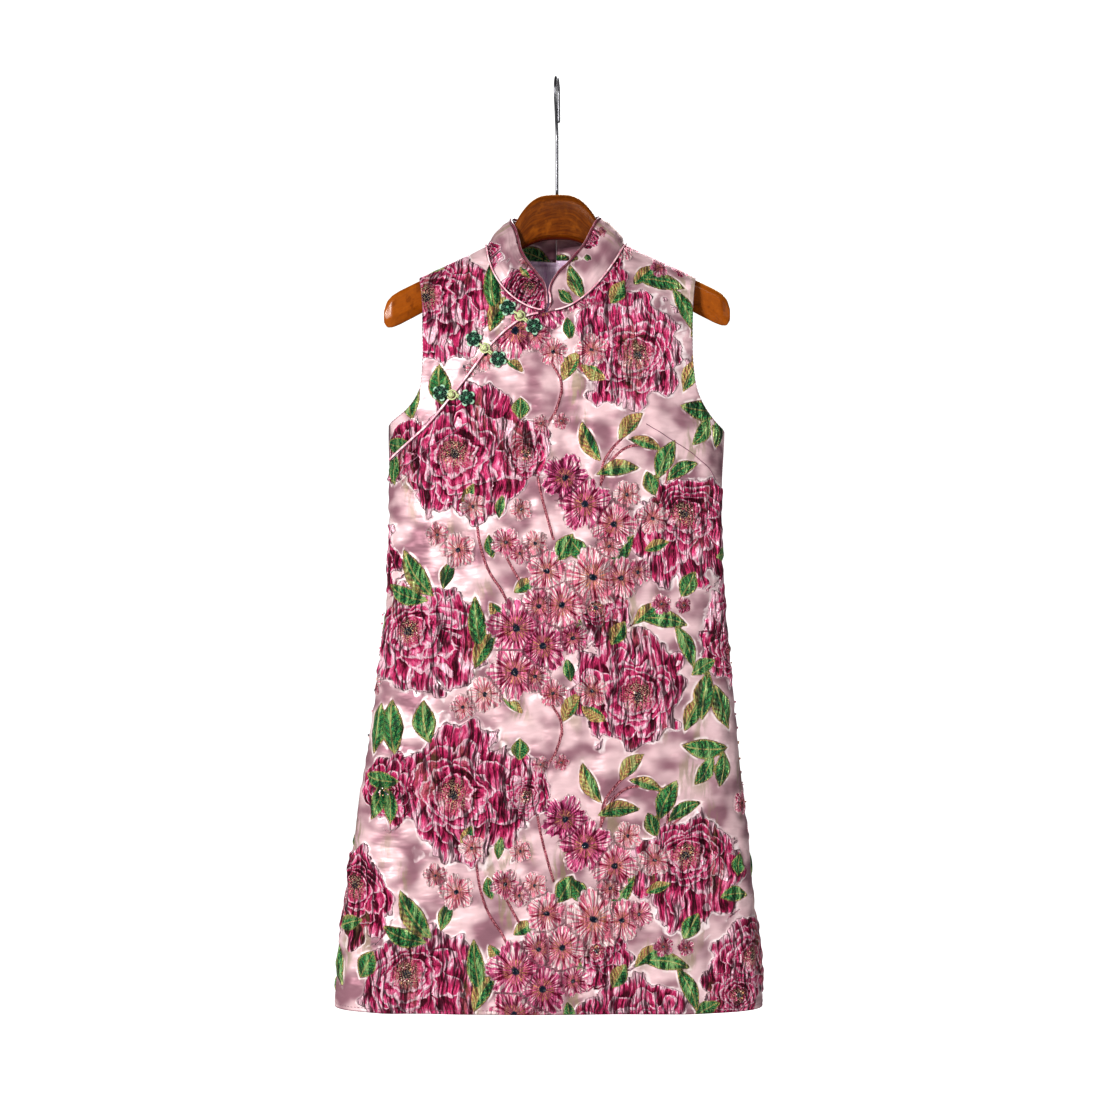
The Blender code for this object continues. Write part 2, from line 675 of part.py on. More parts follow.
def collar_grid(neck_edges, right):
    """Outer and inner faces of one half of the collar, centre front to centre
    back. Its lower edge lies along the neck edges of the panels."""
    front, back = (np.stack(edge) for edge in neck_edges)
    side = (front[:, -1:] + back[:, -1:]) / 2
    base, inward = np.concatenate([front[:, :-1], side, back[:, -2::-1]], 1)
    run = np.concatenate(([0.0], np.cumsum(np.linalg.norm(np.diff(base, axis=0), axis=1))))
    run /= run[-1]
    table = np.asarray(COLLAR_RIGHT if right else COLLAR_LEFT)
    top = np.stack([smooth(run, table[:, 0], table[:, k] * MM) for k in (1, 2, 3)], 1)
    top[-1, 0] = base[-1, 0]
    height = top - base
    length = np.linalg.norm(height, axis=1, keepdims=True)
    base = base + height / length * COLLAR_SEAM
    up = np.linspace(0.0, 1.0, 5)[None, :, None]
    flat = base[:, None, :] + (top - base)[:, None, :] * up
    normal = normals(flat)
    normal *= np.sign(np.sum(normal[:, 2] * (flat[:, 2] - flat[:, 2].mean(0))))
    normal[0] = normal[1]
    normal[-1, :, 0] = 0.0
    normal[-1] /= np.linalg.norm(normal[-1], axis=-1, keepdims=True)
    belly = 0.05 * length[:, None, :] * np.sin(np.pi * up)
    outer = flat + normal * belly
    inner = outer - WALL * normal
    inner[:, 0] = outer[:, 0] + inward
    inner[1:-1:2, 0] = (inner[:-2:2, 0] + inner[2::2, 0]) / 2    # as the panels' inner edge
    return outer, inner


def add_collar(name, grid, right, brocade, satin):
    """Half of the stand collar with its binding along the upper edge."""
    outer, inner = grid
    sheet("collar_" + name, outer, inner, brocade, flip=not right)
    edge = (outer[:, -1] + inner[:, -1]) / 2
    along = np.gradient(edge, axis=0)
    away = np.cross(along, outer[:, -1] - inner[:, -1])
    away *= np.sign(np.sum(away * (outer[:, -1] - outer[:, 0])))
    away /= np.linalg.norm(away, axis=1, keepdims=True)
    away[0] = away[1]
    path = edge + away * (BINDING_RADIUS + SEAT)
    path[0] += away[0] * (0.9 if right else 0.0) * MM
    path[-1, 0] += (0.5 if right else -0.5) * MM
    tube("collar_binding_" + name, path, BINDING_RADIUS, 6, satin)


def add_neck_piping(grids, look):
    """Thin piping over the seam below the collar, once round the neck."""
    runs = []
    for outer, inner in grids:
        collar, panels = (outer[:, k] - inner[:, k] for k in (1, 0))
        collar = collar / np.linalg.norm(collar, axis=1, keepdims=True)
        panels = panels / np.linalg.norm(panels, axis=1, keepdims=True)
        out = collar + panels
        out /= np.sum(out * collar, axis=1, keepdims=True)
        runs.append(outer[:, 0] + out * (NECK_PIPING_RADIUS + SEAT + 0.2 * MM))
    path = np.concatenate([runs[0], runs[1][::-1][1:]])
    tube("neck_piping", path[1:-1], NECK_PIPING_RADIUS, 6, look)


def add_placket_piping(look):
    """Piping along the curved opening."""
    line = placket_line(np.linspace(0.07, 0.985, 33))
    point, normal = front_at(line[:, 0], line[:, 1])
    path = point + normal * (PLACKET_PIPING_RADIUS + SEAT)
    tube("placket_piping", path, PLACKET_PIPING_RADIUS, 6, look)


def add_flower(name, x, z, look):
    """A five-petalled rosette, domed, that follows the cloth under it."""
    sides = 20
    turn = np.linspace(0.0, 2.0 * np.pi, sides, endpoint=False)
    petal = np.abs(np.cos(2.5 * turn)) ** 0.7
    reach = FLOWER_RADIUS * (0.84 + 0.16 * petal)
    rings = ((0.95, 0.0, 0.0), (1.0, 0.24, 0.0), (0.84, 0.70, 0.12), (0.52, 0.60, 0.08),
             (0.28, 0.80, 0.0))
    _, facing = front_at(x, z)
    points = []
    for share, height, swell in rings:
        at_x = x + reach * share * np.cos(turn)
        at_z = z + reach * share * np.sin(turn)
        point, _ = front_at(at_x, at_z)
        lift = SEAT + FLOWER_HEIGHT * (height + swell * petal)
        points.append(point + facing * lift[:, None])
    middle, _ = front_at(x, z)
    points.append(middle[None] + facing * SEAT)
    points.append(middle[None] + facing * (SEAT + FLOWER_HEIGHT))
    faces = []
    for ring in range(len(rings) - 1):
        for s in range(sides):
            a, b = ring * sides + s, ring * sides + (s + 1) % sides
            faces += [(a, b, b + sides), (a, b + sides, a + sides)]
    low, high = len(rings) * sides, len(rings) * sides + 1
    last = (len(rings) - 1) * sides
    for s in range(sides):
        after = (s + 1) % sides
        faces += [(low, after, s), (high, last + s, last + after)]
    add_object(name, np.concatenate(points), faces, look)


def add_knot(name, start, step, middle, look):
    """Ball knot on its short stem, over the piping."""
    turn = np.linspace(np.radians(24.0), np.radians(172.0), 8)
    over = 2.0 * PLACKET_PIPING_RADIUS + 2.0 * SEAT + 0.9 * KNOT_RADIUS
    along = middle - KNOT_RADIUS * np.cos(turn)
    size = KNOT_RADIUS * np.sin(turn)
    first = FLOWER_RADIUS + 0.35 * MM
    if along[0] - first > 1.0 * MM:
        along = np.concatenate(([first], along))
        size = np.concatenate(([1.4 * MM], size))
    height = np.full_like(along, over)
    height[0] = over * 0.72 if len(along) > len(turn) else over
    place = start + step * along[:, None]
    point, _ = front_at(place[:, 0], place[:, 1])
    _, facing = front_at(*(start + step * middle))
    tube(name, point + facing * height[:, None], size, 8, look)


def add_loop(name, start, step, middle, look):
    """Cord loop round the knot, open where the knot's stem passes."""
    turn = np.linspace(np.radians(212.0), np.radians(508.0), 15)[:, None]
    ring = KNOT_RADIUS + LOOP_RADIUS + 0.3 * MM
    cross = np.array([-step[1], step[0]])
    place = start + step * middle + ring * (np.cos(turn) * step + np.sin(turn) * cross)
    over = 2.0 * PLACKET_PIPING_RADIUS + 2.0 * SEAT + LOOP_RADIUS
    point, _ = front_at(place[:, 0], place[:, 1])
    _, facing = front_at(*(start + step * middle))
    tube(name, point + facing * over, LOOP_RADIUS, 6, look)


def add_frogs(flower_look, knot_look):
    """Three fastenings: flower, knot, loop and flower across the opening."""
    for name, a_x, a_z, b_x, b_z in FROGS:
        start, end = np.array([a_x, a_z]) * MM, np.array([b_x, b_z]) * MM
        length = np.linalg.norm(end - start)
        step = (end - start) / length
        middle = min(0.47 * length, length - FLOWER_RADIUS - 6.9 * MM)
        add_flower(name + "_flower_a", *start, flower_look)
        add_flower(name + "_flower_b", *end, flower_look)
        add_knot(name + "_knot", start, step, middle, knot_look)
        add_loop(name + "_loop", start, step, middle, knot_look)


def add_hanger(look):
    """Contoured hanger: a crowned top, flat faces and a bevelled lower edge,
    carried along the arms as a section whose height follows the outline."""
    table = np.asarray(HANGER_OUTLINE) * MM
    half = np.concatenate([np.linspace(0.0, 60.0, 11), np.linspace(70.0, 186.0, 11),
                           [191.0, 195.0, 198.4, 200.4, 201.3]]) * MM
    top, bottom = (smooth(half, table[:, 0], table[:, k]) for k in (1, 2))
    end = 1.0 - fade(half, 190.0 * MM, 202.0 * MM) * 0.45
    thick = HANGER_HALF_THICKNESS * end
    tall = top - bottom
    crown = np.minimum(TOP_CROWN, 0.3 * tall)
    bevel = np.minimum(LOWER_BEVEL, 0.3 * tall) * (0.45 + 0.55 * fade(half, 0.02, 0.09))
    profile = (
        # y as a share of the half thickness, z below the top, z above the bottom
        (0.0, 0.0, None), (-0.5, 0.28, None), (-0.86, 0.72, None), (-1.0, 1.3, None),
        (-1.0, None, 1.0), (-0.36, None, 0.0), (0.36, None, 0.0), (1.0, None, 1.0),
        (1.0, 1.3, None), (0.86, 0.72, None), (0.5, 0.28, None),
    )
    ring = []
    for across, below, above in profile:
        z = top - below * crown if above is None else bottom + above * bevel
        ring.append(np.stack([half, across * thick, z], 1))
    right = np.stack(ring, 1)
    left = right[1:][::-1] * np.array([-1.0, 1.0, 1.0])
    rings = np.concatenate([left, right])
    rings[..., 1] -= arm_forward(rings[..., 0])
    rings[..., 2] += HANGER_TILT * rings[..., 0]
    count, sides = rings.shape[:2]
    points = np.concatenate([rings.reshape(-1, 3), rings[:1].mean(1), rings[-1:].mean(1)])
    faces = []
    for k in range(count - 1):
        for s in range(sides):
            a, b = k * sides + s, k * sides + (s + 1) % sides
            faces += [(a, b, b + sides), (a, b + sides, a + sides)]
    first, last = count * sides, count * sides + 1
    tail = (count - 1) * sides
    for s in range(sides):
        faces += [(first, (s + 1) % sides, s), (last, tail + s, tail + (s + 1) % sides)]
    add_object("hanger_wood", points, faces, look)


def add_hook(look):
    """Wire hook: a straight shank, a bend to the front, a half circle over
    the top and a straight tip behind."""
    centre_z = HOOK_WIRE - HOOK_BEND
    shank = np.array([[0.0, HOOK_BASE_Z], [0.0, -110.0 * MM], [0.0, -88.0 * MM]])
    z = np.linspace(HOOK_BEND_START, centre_z, 9)
    bend = np.stack([-HOOK_BEND * fade(z, HOOK_BEND_START, centre_z), z], 1)
    turn = np.linspace(np.pi, 0.0, 15)[1:]
    crook = np.stack([HOOK_BEND * np.cos(turn), centre_z + HOOK_BEND * np.sin(turn)], 1)
    tip = np.array([[HOOK_BEND, -30.0 * MM], [HOOK_BEND + 0.6 * MM, HOOK_TIP_Z],
                    [HOOK_BEND + 0.8 * MM, HOOK_TIP_Z - 1.2 * MM]])
    flat = np.concatenate([shank, bend, crook, tip])
    path = np.stack([flat[:, 0] * np.sin(HOOK_TURN), flat[:, 0] * np.cos(HOOK_TURN),
                     flat[:, 1]], 1)
    size = np.full(len(path), HOOK_WIRE)
    size[-1] = 0.6 * HOOK_WIRE
    tube("hanger_hook", path, size, 8, look)


def main():
    """Clears the scene and builds every piece."""
    for old in list(bpy.data.objects):
        bpy.data.objects.remove(old, do_unlink=True)
    brocade = material("floral brocade", (0.72, 0.42, 0.52), 0.45)
    satin = material("pink satin", (0.78, 0.42, 0.55), 0.32)
    lining = material("lilac lining", (0.66, 0.50, 0.60), 0.40)
    green = material("dark green satin cord", (0.02, 0.22, 0.13), 0.40)
    pale = material("pale green satin cord", (0.56, 0.66, 0.42), 0.40)
    wood = material("varnished wood", (0.52, 0.22, 0.05), 0.28)
    steel = material("dark steel wire", (0.16, 0.16, 0.17), 0.30, 1.0)
    front_right = add_front_main(brocade)
    front_left = add_front_shoulder(brocade)
    back_left = add_back("back_left", False, brocade)
    back_right = add_back("back_right", True, brocade)
    add_back_lining(lining)
    grids = [collar_grid((front_left, back_left), False),
             collar_grid((front_right, back_right), True)]
    add_collar("left", grids[0], False, brocade, satin)
    add_collar("right", grids[1], True, brocade, satin)
    add_neck_piping(grids, satin)
    add_placket_piping(satin)
    add_frogs(green, pale)
    add_hanger(wood)
    add_hook(steel)


main()
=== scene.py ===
# %% [markdown]
# # A sleeveless brocade cheongsam on its wooden hanger
# The dress is cut from a glossy blush satin brocade with puffed peonies, leaves and vines. It has a
# stand collar, a curved opening that ends under the arm, thin satin piping and three pairs of
# flower-shaped frogs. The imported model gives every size. Here each piece gets its fine form and
# its finish. Sizes are in metres, +Z is up, the front faces -Y, and the origin is inside the hook.

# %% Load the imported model
from functools import partialmethod

import bpy
import numpy as np
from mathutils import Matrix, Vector


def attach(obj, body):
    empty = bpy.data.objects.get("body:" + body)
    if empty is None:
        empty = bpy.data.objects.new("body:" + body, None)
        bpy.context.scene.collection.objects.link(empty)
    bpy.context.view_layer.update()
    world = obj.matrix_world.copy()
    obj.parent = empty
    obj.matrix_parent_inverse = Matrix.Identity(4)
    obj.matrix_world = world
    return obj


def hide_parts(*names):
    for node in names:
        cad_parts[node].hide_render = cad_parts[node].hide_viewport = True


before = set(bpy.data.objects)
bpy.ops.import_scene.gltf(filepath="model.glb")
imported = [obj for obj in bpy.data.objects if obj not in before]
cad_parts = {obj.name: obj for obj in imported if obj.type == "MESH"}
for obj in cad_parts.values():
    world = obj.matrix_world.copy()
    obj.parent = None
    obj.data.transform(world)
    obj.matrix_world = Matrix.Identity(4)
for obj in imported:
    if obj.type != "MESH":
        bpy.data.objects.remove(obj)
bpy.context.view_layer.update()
MM = 0.001

# %% [markdown]
# ## Node helpers
# A finish is a network of nodes. A few small helpers keep the networks readable: each adds one node
# and gives back its output. Effects that several finishes share become node groups.


# %% Node helpers
def seen(red, green, blue):
    """A colour as it looks on a screen, 0 to 255, as the light values that a shader takes."""
    share = np.array([red, green, blue]) / 255.0
    light = np.where(share <= 0.04045, share / 12.92, ((share + 0.055) / 1.055) ** 2.4)
    return (*[float(v) for v in light], 1.0)


class Net:
    """Adds nodes to one tree. Numbers are set on sockets, and outputs are linked."""

    def __init__(self, tree):
        self.tree = tree

    def put(self, socket, value):
        """Links an output to a socket, or sets a number or colour on it."""
        if isinstance(value, bpy.types.NodeSocket):
            self.tree.links.new(value, socket)
        else:
            socket.default_value = value

    def node(self, kind, values=(), **settings):
        """A node of a kind, with its settings and its inputs by number or name."""
        made = self.tree.nodes.new(kind)
        for key, value in settings.items():
            setattr(made, key, value)
        for key, value in dict(values).items():
            self.put(made.inputs[key], value)
        return made

    def math(self, operation, *values, clamp=False):
        """Arithmetic on up to three values; a clamped result stays from 0 to 1."""
        return self.node("ShaderNodeMath", enumerate(values), operation=operation,
                         use_clamp=clamp).outputs[0]

    def step(self, value, low, high, start=0.0, end=1.0):
        """An S-curve from start at low to end at high."""
        return self.node("ShaderNodeMapRange", {0: value, 1: low, 2: high, 3: start, 4: end},
                         interpolation_type="SMOOTHSTEP").outputs[0]

    def paint(self, colour, *layers):
        """Colours laid over one another: each layer is a mask and its colour, and a
        colour is an output or three numbers as seen."""
        for mask, over in layers:
            ends = [seen(*end) if isinstance(end, tuple) else end for end in (colour, over)]
            colour = self.node("ShaderNodeMix", {0: mask, 6: ends[0], 7: ends[1]},
                               data_type="RGBA").outputs[2]
        return colour

    def lerp(self, factor, first, second):
        """Two values mixed by a factor."""
        return self.node("ShaderNodeMix", {0: factor, 2: first, 3: second},
                         data_type="FLOAT").outputs[0]

    def stretch(self, vector, scale, shift=(0.0, 0.0, 0.0)):
        """A vector times a scale, plus a shift."""
        return self.node("ShaderNodeVectorMath", {0: vector, 1: scale, 2: shift},
                         operation="MULTIPLY_ADD").outputs[0]

    def noise(self, vector, scale=1.0, detail=2.0, rough=0.5):
        """Soft noise, about 0.5 on average. Three scales stretch it each way."""
        if isinstance(scale, tuple):
            vector, scale = self.stretch(vector, scale), 1.0
        return self.node("ShaderNodeTexNoise", {"Vector": vector, "Scale": scale, "Detail": detail,
                                                "Roughness": rough}).outputs[0]

    def split(self, vector):
        """The three parts of a vector."""
        return self.node("ShaderNodeSeparateXYZ", {0: vector}).outputs

    def join(self, x, y, z=0.0):
        """A vector of three values."""
        return self.node("ShaderNodeCombineXYZ", {0: x, 1: y, 2: z}).outputs[0]

    def field(self, name, kind="Vector"):
        """A value kept with the mesh."""
        return self.node("ShaderNodeAttribute", attribute_name=name).outputs[kind]

    def finish(self, values, height=None, strength=1.0):
        """Sets sockets of the Principled shader by name, and its relief from a
        height in millimetres."""
        sockets = self.tree.nodes["Principled BSDF"].inputs
        if height is not None:
            bump = self.node("ShaderNodeBump", {"Height": height, "Strength": strength, "Distance": MM})
            values = {**values, "Normal": bump.outputs[0]}
        for name, value in values.items():
            self.put(sockets[name], value)


def new_group(name, inputs, outputs):
    """A node group's net, its named inputs, and a way to give values to its outputs."""
    group = bpy.data.node_groups.new(name, "ShaderNodeTree")
    for way, sockets in (("INPUT", inputs), ("OUTPUT", outputs)):
        for label, kind in sockets.items():
            group.interface.new_socket(label, in_out=way, socket_type=kind)
    net, ends = Net(group), group.nodes.new("NodeGroupOutput").inputs
    give = lambda **values: [net.put(ends[name], value) for name, value in values.items()]
    return net, group.nodes.new("NodeGroupInput").outputs, give


def use_group(net, name, values):
    """A node group placed in a material with its own values."""
    return net.node("ShaderNodeGroup", values, node_tree=bpy.data.node_groups[name]).outputs


# the commonest sums get short names: line is value * gain + shift, and size drops the sign
SUMS = {"times": "MULTIPLY", "plus": "ADD", "less": "SUBTRACT", "line": "MULTIPLY_ADD", "power": "POWER",
        "size": "ABSOLUTE", "most": "MAXIMUM", "sin": "SINE", "cos": "COSINE"}
for word, operation in SUMS.items():
    setattr(Net, word, partialmethod(Net.math, operation))


def plain(name, colour, roughness):
    """A Principled material of one colour."""
    made = bpy.data.materials.new(name)
    made.use_nodes = True
    Net(made.node_tree).finish({"Base Color": (*colour, 1.0), "Roughness": roughness})
    return made


VALUE, VECTOR, COLOUR = "NodeSocketFloat", "NodeSocketVector", "NodeSocketColor"
print("screen pink as light:", [round(v, 3) for v in seen(200, 90, 140)[:3]])

# %% [markdown]
# ## Camera, floor and light
# A dress on a hanger is seen from straight ahead at the height of its middle, with a fairly
# long lens, so that its sides stay upright. One large soft light above on the left shows the
# puffed relief, a weaker one on the right keeps the shadows open, and the floor is plain and pale.
# The surroundings are white to the eye but give only part of that light, so folds keep their depth.

# %% Camera and stage
scene = bpy.context.scene
scene.view_settings.view_transform = "Standard"
scene.view_settings.look = "Medium High Contrast"
CAMERA_X, CAMERA_AWAY, CAMERA_Z, VIEW_WIDTH, SENSOR = 3.5 * MM, 2.05, -0.5628, 1.3104, 36.0
WORLD_SHARE, FLOOR_Z, FLOOR_REACH, FLOOR_GLOW = 0.18, -1.9, 8.0, 0.8


def make_camera():
    """A level camera whose lens takes in the view's width at the dress."""
    camera = bpy.data.objects.new("camera", bpy.data.cameras.new("camera"))
    scene.collection.objects.link(camera)
    camera.location = (CAMERA_X, -CAMERA_AWAY, CAMERA_Z)
    camera.rotation_euler = (np.pi / 2, 0.0, 0.0)
    camera.data.sensor_width = SENSOR
    camera.data.lens = SENSOR * CAMERA_AWAY / VIEW_WIDTH
    scene.camera = camera
    return camera


def add_area_light(name, place, target, size, power, colour=(1.0, 1.0, 1.0)):
    """A square soft light at place that looks at target."""
    light = bpy.data.lights.new(name, "AREA")
    light.shape, light.size, light.energy, light.color = "SQUARE", size, power, colour
    made = bpy.data.objects.new(name, light)
    scene.collection.objects.link(made)
    made.location = place
    made.rotation_euler = (Vector(target) - Vector(place)).to_track_quat("-Z", "Y").to_euler()
    return made


camera = make_camera()
add_area_light("key_light", (-1.7, -2.5, 0.25), (0.0, 0.0, -0.6), 0.65, 90.0, (1.0, 0.985, 0.97))
add_area_light("neck_light", (0.15, -1.7, 0.35), (0.0, 0.0, -0.24), 0.25, 1.5)
add_area_light("fill_light", (1.7, -1.9, -0.2), (0.0, 0.0, -0.6), 1.0, 7.0, (0.95, 0.97, 1.0))
add_area_light("back_light", (0.6, 2.2, 1.2), (0.0, 0.0, -0.6), 1.6, 52.0)

world = bpy.data.worlds.new("studio")
world.use_nodes = True
scene.world = world
net, backdrop = Net(world.node_tree), world.node_tree.nodes["Background"].inputs
to_eye = net.node("ShaderNodeLightPath").outputs["Is Camera Ray"]
strength = net.node("ShaderNodeMapRange", {"Value": to_eye, "To Min": WORLD_SHARE, "To Max": 1.0})
net.put(backdrop["Strength"], strength.outputs["Result"])
net.put(backdrop["Color"], (1.0, 1.0, 1.0, 1.0))

floor_mesh = bpy.data.meshes.new("floor")
floor_mesh.from_pydata([(x * FLOOR_REACH, y * FLOOR_REACH, FLOOR_Z)
                        for x, y in ((-1, -1), (1, -1), (1, 1), (-1, 1))], [], [(0, 1, 2, 3)])
floor = bpy.data.objects.new("floor", floor_mesh)
scene.collection.objects.link(floor)
floor_paint = plain("pale floor", (0.9, 0.9, 0.9), 0.9)
net = Net(floor_paint.node_tree)
to_eye = net.node("ShaderNodeLightPath").outputs["Is Camera Ray"]
net.finish({"Emission Color": (1.0, 1.0, 1.0, 1.0), "Emission Strength": net.times(to_eye, FLOOR_GLOW)})
floor_mesh.materials.append(floor_paint)
print("camera lens:", round(camera.data.lens, 2))

# %% [markdown]
# ## Curves through short tables
# Cloth edges are smooth. A few measured places and a curve through them describe an edge in the
# way that a pattern maker draws it: the slope at each place comes from its two neighbours.


# %% Curve helpers
def run_of(path):
    """How far along a path each of its points lies, from 0."""
    return np.concatenate(([0.0], np.cumsum(np.linalg.norm(np.diff(path, axis=0), axis=1))))


def unit(vectors):
    """The same directions with a length of 1."""
    return vectors / np.maximum(np.linalg.norm(vectors, axis=-1, keepdims=True), 1e-12)


def smooth(x, knots, values):
    """Cubic Hermite curve through the places, with central slopes."""
    knots, values = np.asarray(knots, float), np.asarray(values, float)
    slopes = np.gradient(values, knots)
    i = np.clip(np.searchsorted(knots, x) - 1, 0, len(knots) - 2)
    step = knots[i + 1] - knots[i]
    u = np.clip((x - knots[i]) / step, 0.0, 1.0)
    return ((2 * u**3 - 3 * u**2 + 1) * values[i] + (u**3 - 2 * u**2 + u) * step * slopes[i]
            + (3 * u**2 - 2 * u**3) * values[i + 1] + (u**3 - u**2) * step * slopes[i + 1])


def smooth_path(points, share):
    """A smooth curve through points, read at shares of its own length, or at as
    many even shares as a whole number says."""
    points = np.asarray(points, float)
    share = np.linspace(0.0, 1.0, share) if isinstance(share, int) else share
    chord = run_of(points)
    fine = np.linspace(0.0, 1.0, 600)
    curve = np.stack([smooth(fine, chord / chord[-1], column) for column in points.T], 1)
    run = run_of(curve)
    return np.stack([np.interp(share, run / run[-1], column) for column in curve.T], 1)


def fade(x, low, high):
    """0 below low, 1 above high and an S-curve between."""
    u = np.clip((x - low) / (high - low), 0.0, 1.0)
    return u * u * (3.0 - 2.0 * u)


# %% [markdown]
# ## The form of the dress
# A dress on a flat hanger is an oval tube that narrows upwards and closes over the hanger's arms.
# A point on it is a place on a squared ellipse at its height. The table gives that ellipse from
# hem to shoulder, and soft upright folds grow towards the hem.

# %% Sizes of the dress
WALL, SEAM_GAP, SEAT = 2.0 * MM, 0.08 * MM, 0.4 * MM
HEM_Z, YOKE_Z, GATHER_Z = -1079.0 * MM, -520.0 * MM, -880.0 * MM
SECTIONS = np.array((
    # z, centre, half_width, front_depth, back_depth, squareness
    (-1079, -9.7, 249, 62, 50, 3.6),
    (-1000, -8.6, 242, 60, 49, 3.5),
    (-920, -7.2, 232.5, 57.5, 47, 3.4),
    (-830, -5.2, 221.5, 55, 45, 3.2),
    (-740, -3.6, 210, 52.5, 43, 3),
    (-650, -2.6, 200, 50.5, 41, 2.9),
    (-560, -1.3, 194.2, 50, 40, 2.8),
    (-470, -1.3, 194.5, 51, 40, 2.7),
    (-409, -0.5, 196.5, 53, 42, 2.6),
    (-340, 0, 192, 57, 45, 2.5),
    (-270, 0, 186, 61, 48, 2.5),
    (-190, 0, 180, 63, 49, 2.5),
))
SKIRT_FOLDS = (
    # x at the hem, breadth, height
    (-196, 16, 3), (-150, 26, -2.4), (-30, 40, 1.8), (70, 34, -2),
    (150, 24, 2.2),
)
BUST_X, BUST_Z, BUST_RADIUS, BUST_HEIGHT = 92.0 * MM, -432.0 * MM, 78.0 * MM, 5.0 * MM
SIDE_NECK_LEFT, SIDE_NECK_RIGHT = -82.0 * MM, 80.0 * MM
CENTRE_FRONT_X, CENTRE_BACK_X = -9.0 * MM, -1.0 * MM
HANGER_TILT, SHOULDER_SLOPE, SHOULDER_SEAT = 0.006, 0.478, 0.8 * MM
SHOULDER_START, SHOULDER_START_Z, NECK_BLEND = 81.0 * MM, -198.7 * MM, 70.0 * MM
ARM_FORWARD, OVER_ARM = 9.0 * MM, 13.0 * MM


# %% The dress as a function of angle and height
def section(z):
    """Centre, half width, front and back depth and squareness at a height."""
    rows = [smooth(np.asarray(z) / MM, SECTIONS[:, 0], SECTIONS[:, k]) for k in range(1, 6)]
    return rows[0] * MM, rows[1] * MM, rows[2] * MM, rows[3] * MM, rows[4]


def shoulder_z(x):
    """Height of the shoulder seam, which rests on the hanger's sloping arms."""
    far = np.abs(x)
    reach = np.where(far < NECK_BLEND, 0.5 * (far * far / NECK_BLEND + NECK_BLEND), far)
    top = SHOULDER_START_Z - SHOULDER_SLOPE * (reach - SHOULDER_START)
    return top + HANGER_TILT * x + WALL + SHOULDER_SEAT


def arm_forward(x):
    """How far the hanger's arm curves forward: a parabola."""
    return ARM_FORWARD * (x / (200.0 * MM)) ** 2


def angle_at(x, z):
    """The angle on the section, 0 at +X and pi at -X, of a place across it."""
    centre, half_width, _, _, square = section(z)
    ratio = np.clip((x - centre) / half_width, -1.0, 1.0)
    return np.arctan2((1.0 - np.abs(ratio) ** square) ** (1.0 / square), ratio)


def cloth(angle, z, front):
    """A point of the dress: a squared ellipse whose depth closes, in a quarter
    circle, over the hanger's arm; the bust and the skirt's folds add depth."""
    centre, half_width, front_depth, back_depth, square = section(z)
    cos, sin = np.cos(angle), np.sin(angle)
    scale = (np.abs(cos) ** square + np.abs(sin) ** square) ** (-1.0 / square)
    x = centre + half_width * cos * scale
    drop = np.maximum(shoulder_z(x) - z, 0.0)
    edge = np.sqrt(np.maximum(OVER_ARM**2 - np.maximum(OVER_ARM - drop, 0.0) ** 2, 0.0))
    reach = (150.0 if front else 80.0) * MM
    open_out = 1.0 - np.maximum(1.0 - drop / reach, 0.0) ** 2.2
    depth = (front_depth if front else back_depth) * sin * scale
    if front:
        far = np.hypot(np.abs(x) - BUST_X, 0.8 * (z - BUST_Z)) / BUST_RADIUS
        depth = depth + sin * BUST_HEIGHT * (1.0 - fade(far, 0.0, 1.0))
    depth = edge * (1.0 - open_out) + (depth + sin * skirt_folds(x, z, front)) * open_out
    ahead = arm_forward(x) * (1.0 - open_out)
    return np.stack([x, -ahead - depth if front else -ahead + depth, z + 0.0 * x], -1)


def skirt_folds(x, z, front):
    """A sum of bell curves that grow from the hip to the hem."""
    centre, half_width = section(z)[:2]
    hem_centre, hem_width = section(HEM_Z)[:2]
    across = (x - centre) / half_width * hem_width + hem_centre
    wave = 0.0 * x
    for place, breadth, height in SKIRT_FOLDS:
        place = place if front else -place
        wave = wave + height * MM * np.exp(-(((across - place * MM) / (breadth * MM)) ** 2))
    return wave * fade(-z, 600.0 * MM, -HEM_Z)


def cloth_run(angle, z, front):
    """How far round the cloth a place lies from the middle: the length of the
    section's outline, summed once over a grid of angles and heights."""
    angles, heights = np.linspace(0.0, np.pi, 241), np.linspace(HEM_Z, -200.0 * MM, 45)
    across, up = np.meshgrid(angles, heights, indexing="ij")
    points = cloth(across, up, front)
    step = np.linalg.norm(np.diff(points[..., :2], axis=0), axis=-1)
    run = np.concatenate([np.zeros((1, 45)), np.cumsum(step, axis=0)])
    run = run[120:121] - run
    i = np.clip(np.asarray(angle) / np.pi * 240.0, 0.0, 239.999)
    j = np.clip((np.asarray(z) - HEM_Z) / (heights[1] - heights[0]), 0.0, 43.999)
    a, b = i.astype(int), j.astype(int)
    u, v = i - a, j - b
    low = run[a, b] * (1 - u) + run[a + 1, b] * u
    return low * (1 - v) + (run[a, b + 1] * (1 - u) + run[a + 1, b + 1] * u) * v


print("run of the hem from the middle to the side, mm:",
      round(float(cloth_run(0.0, HEM_Z, True)) / MM, 1))

# %% [markdown]
# ## The cut edges
# The neckline, shoulders, armholes and the curved opening bound the panels. Each edge is a function
# of its share of the way, so a fine grid of cloth can end exactly on it.

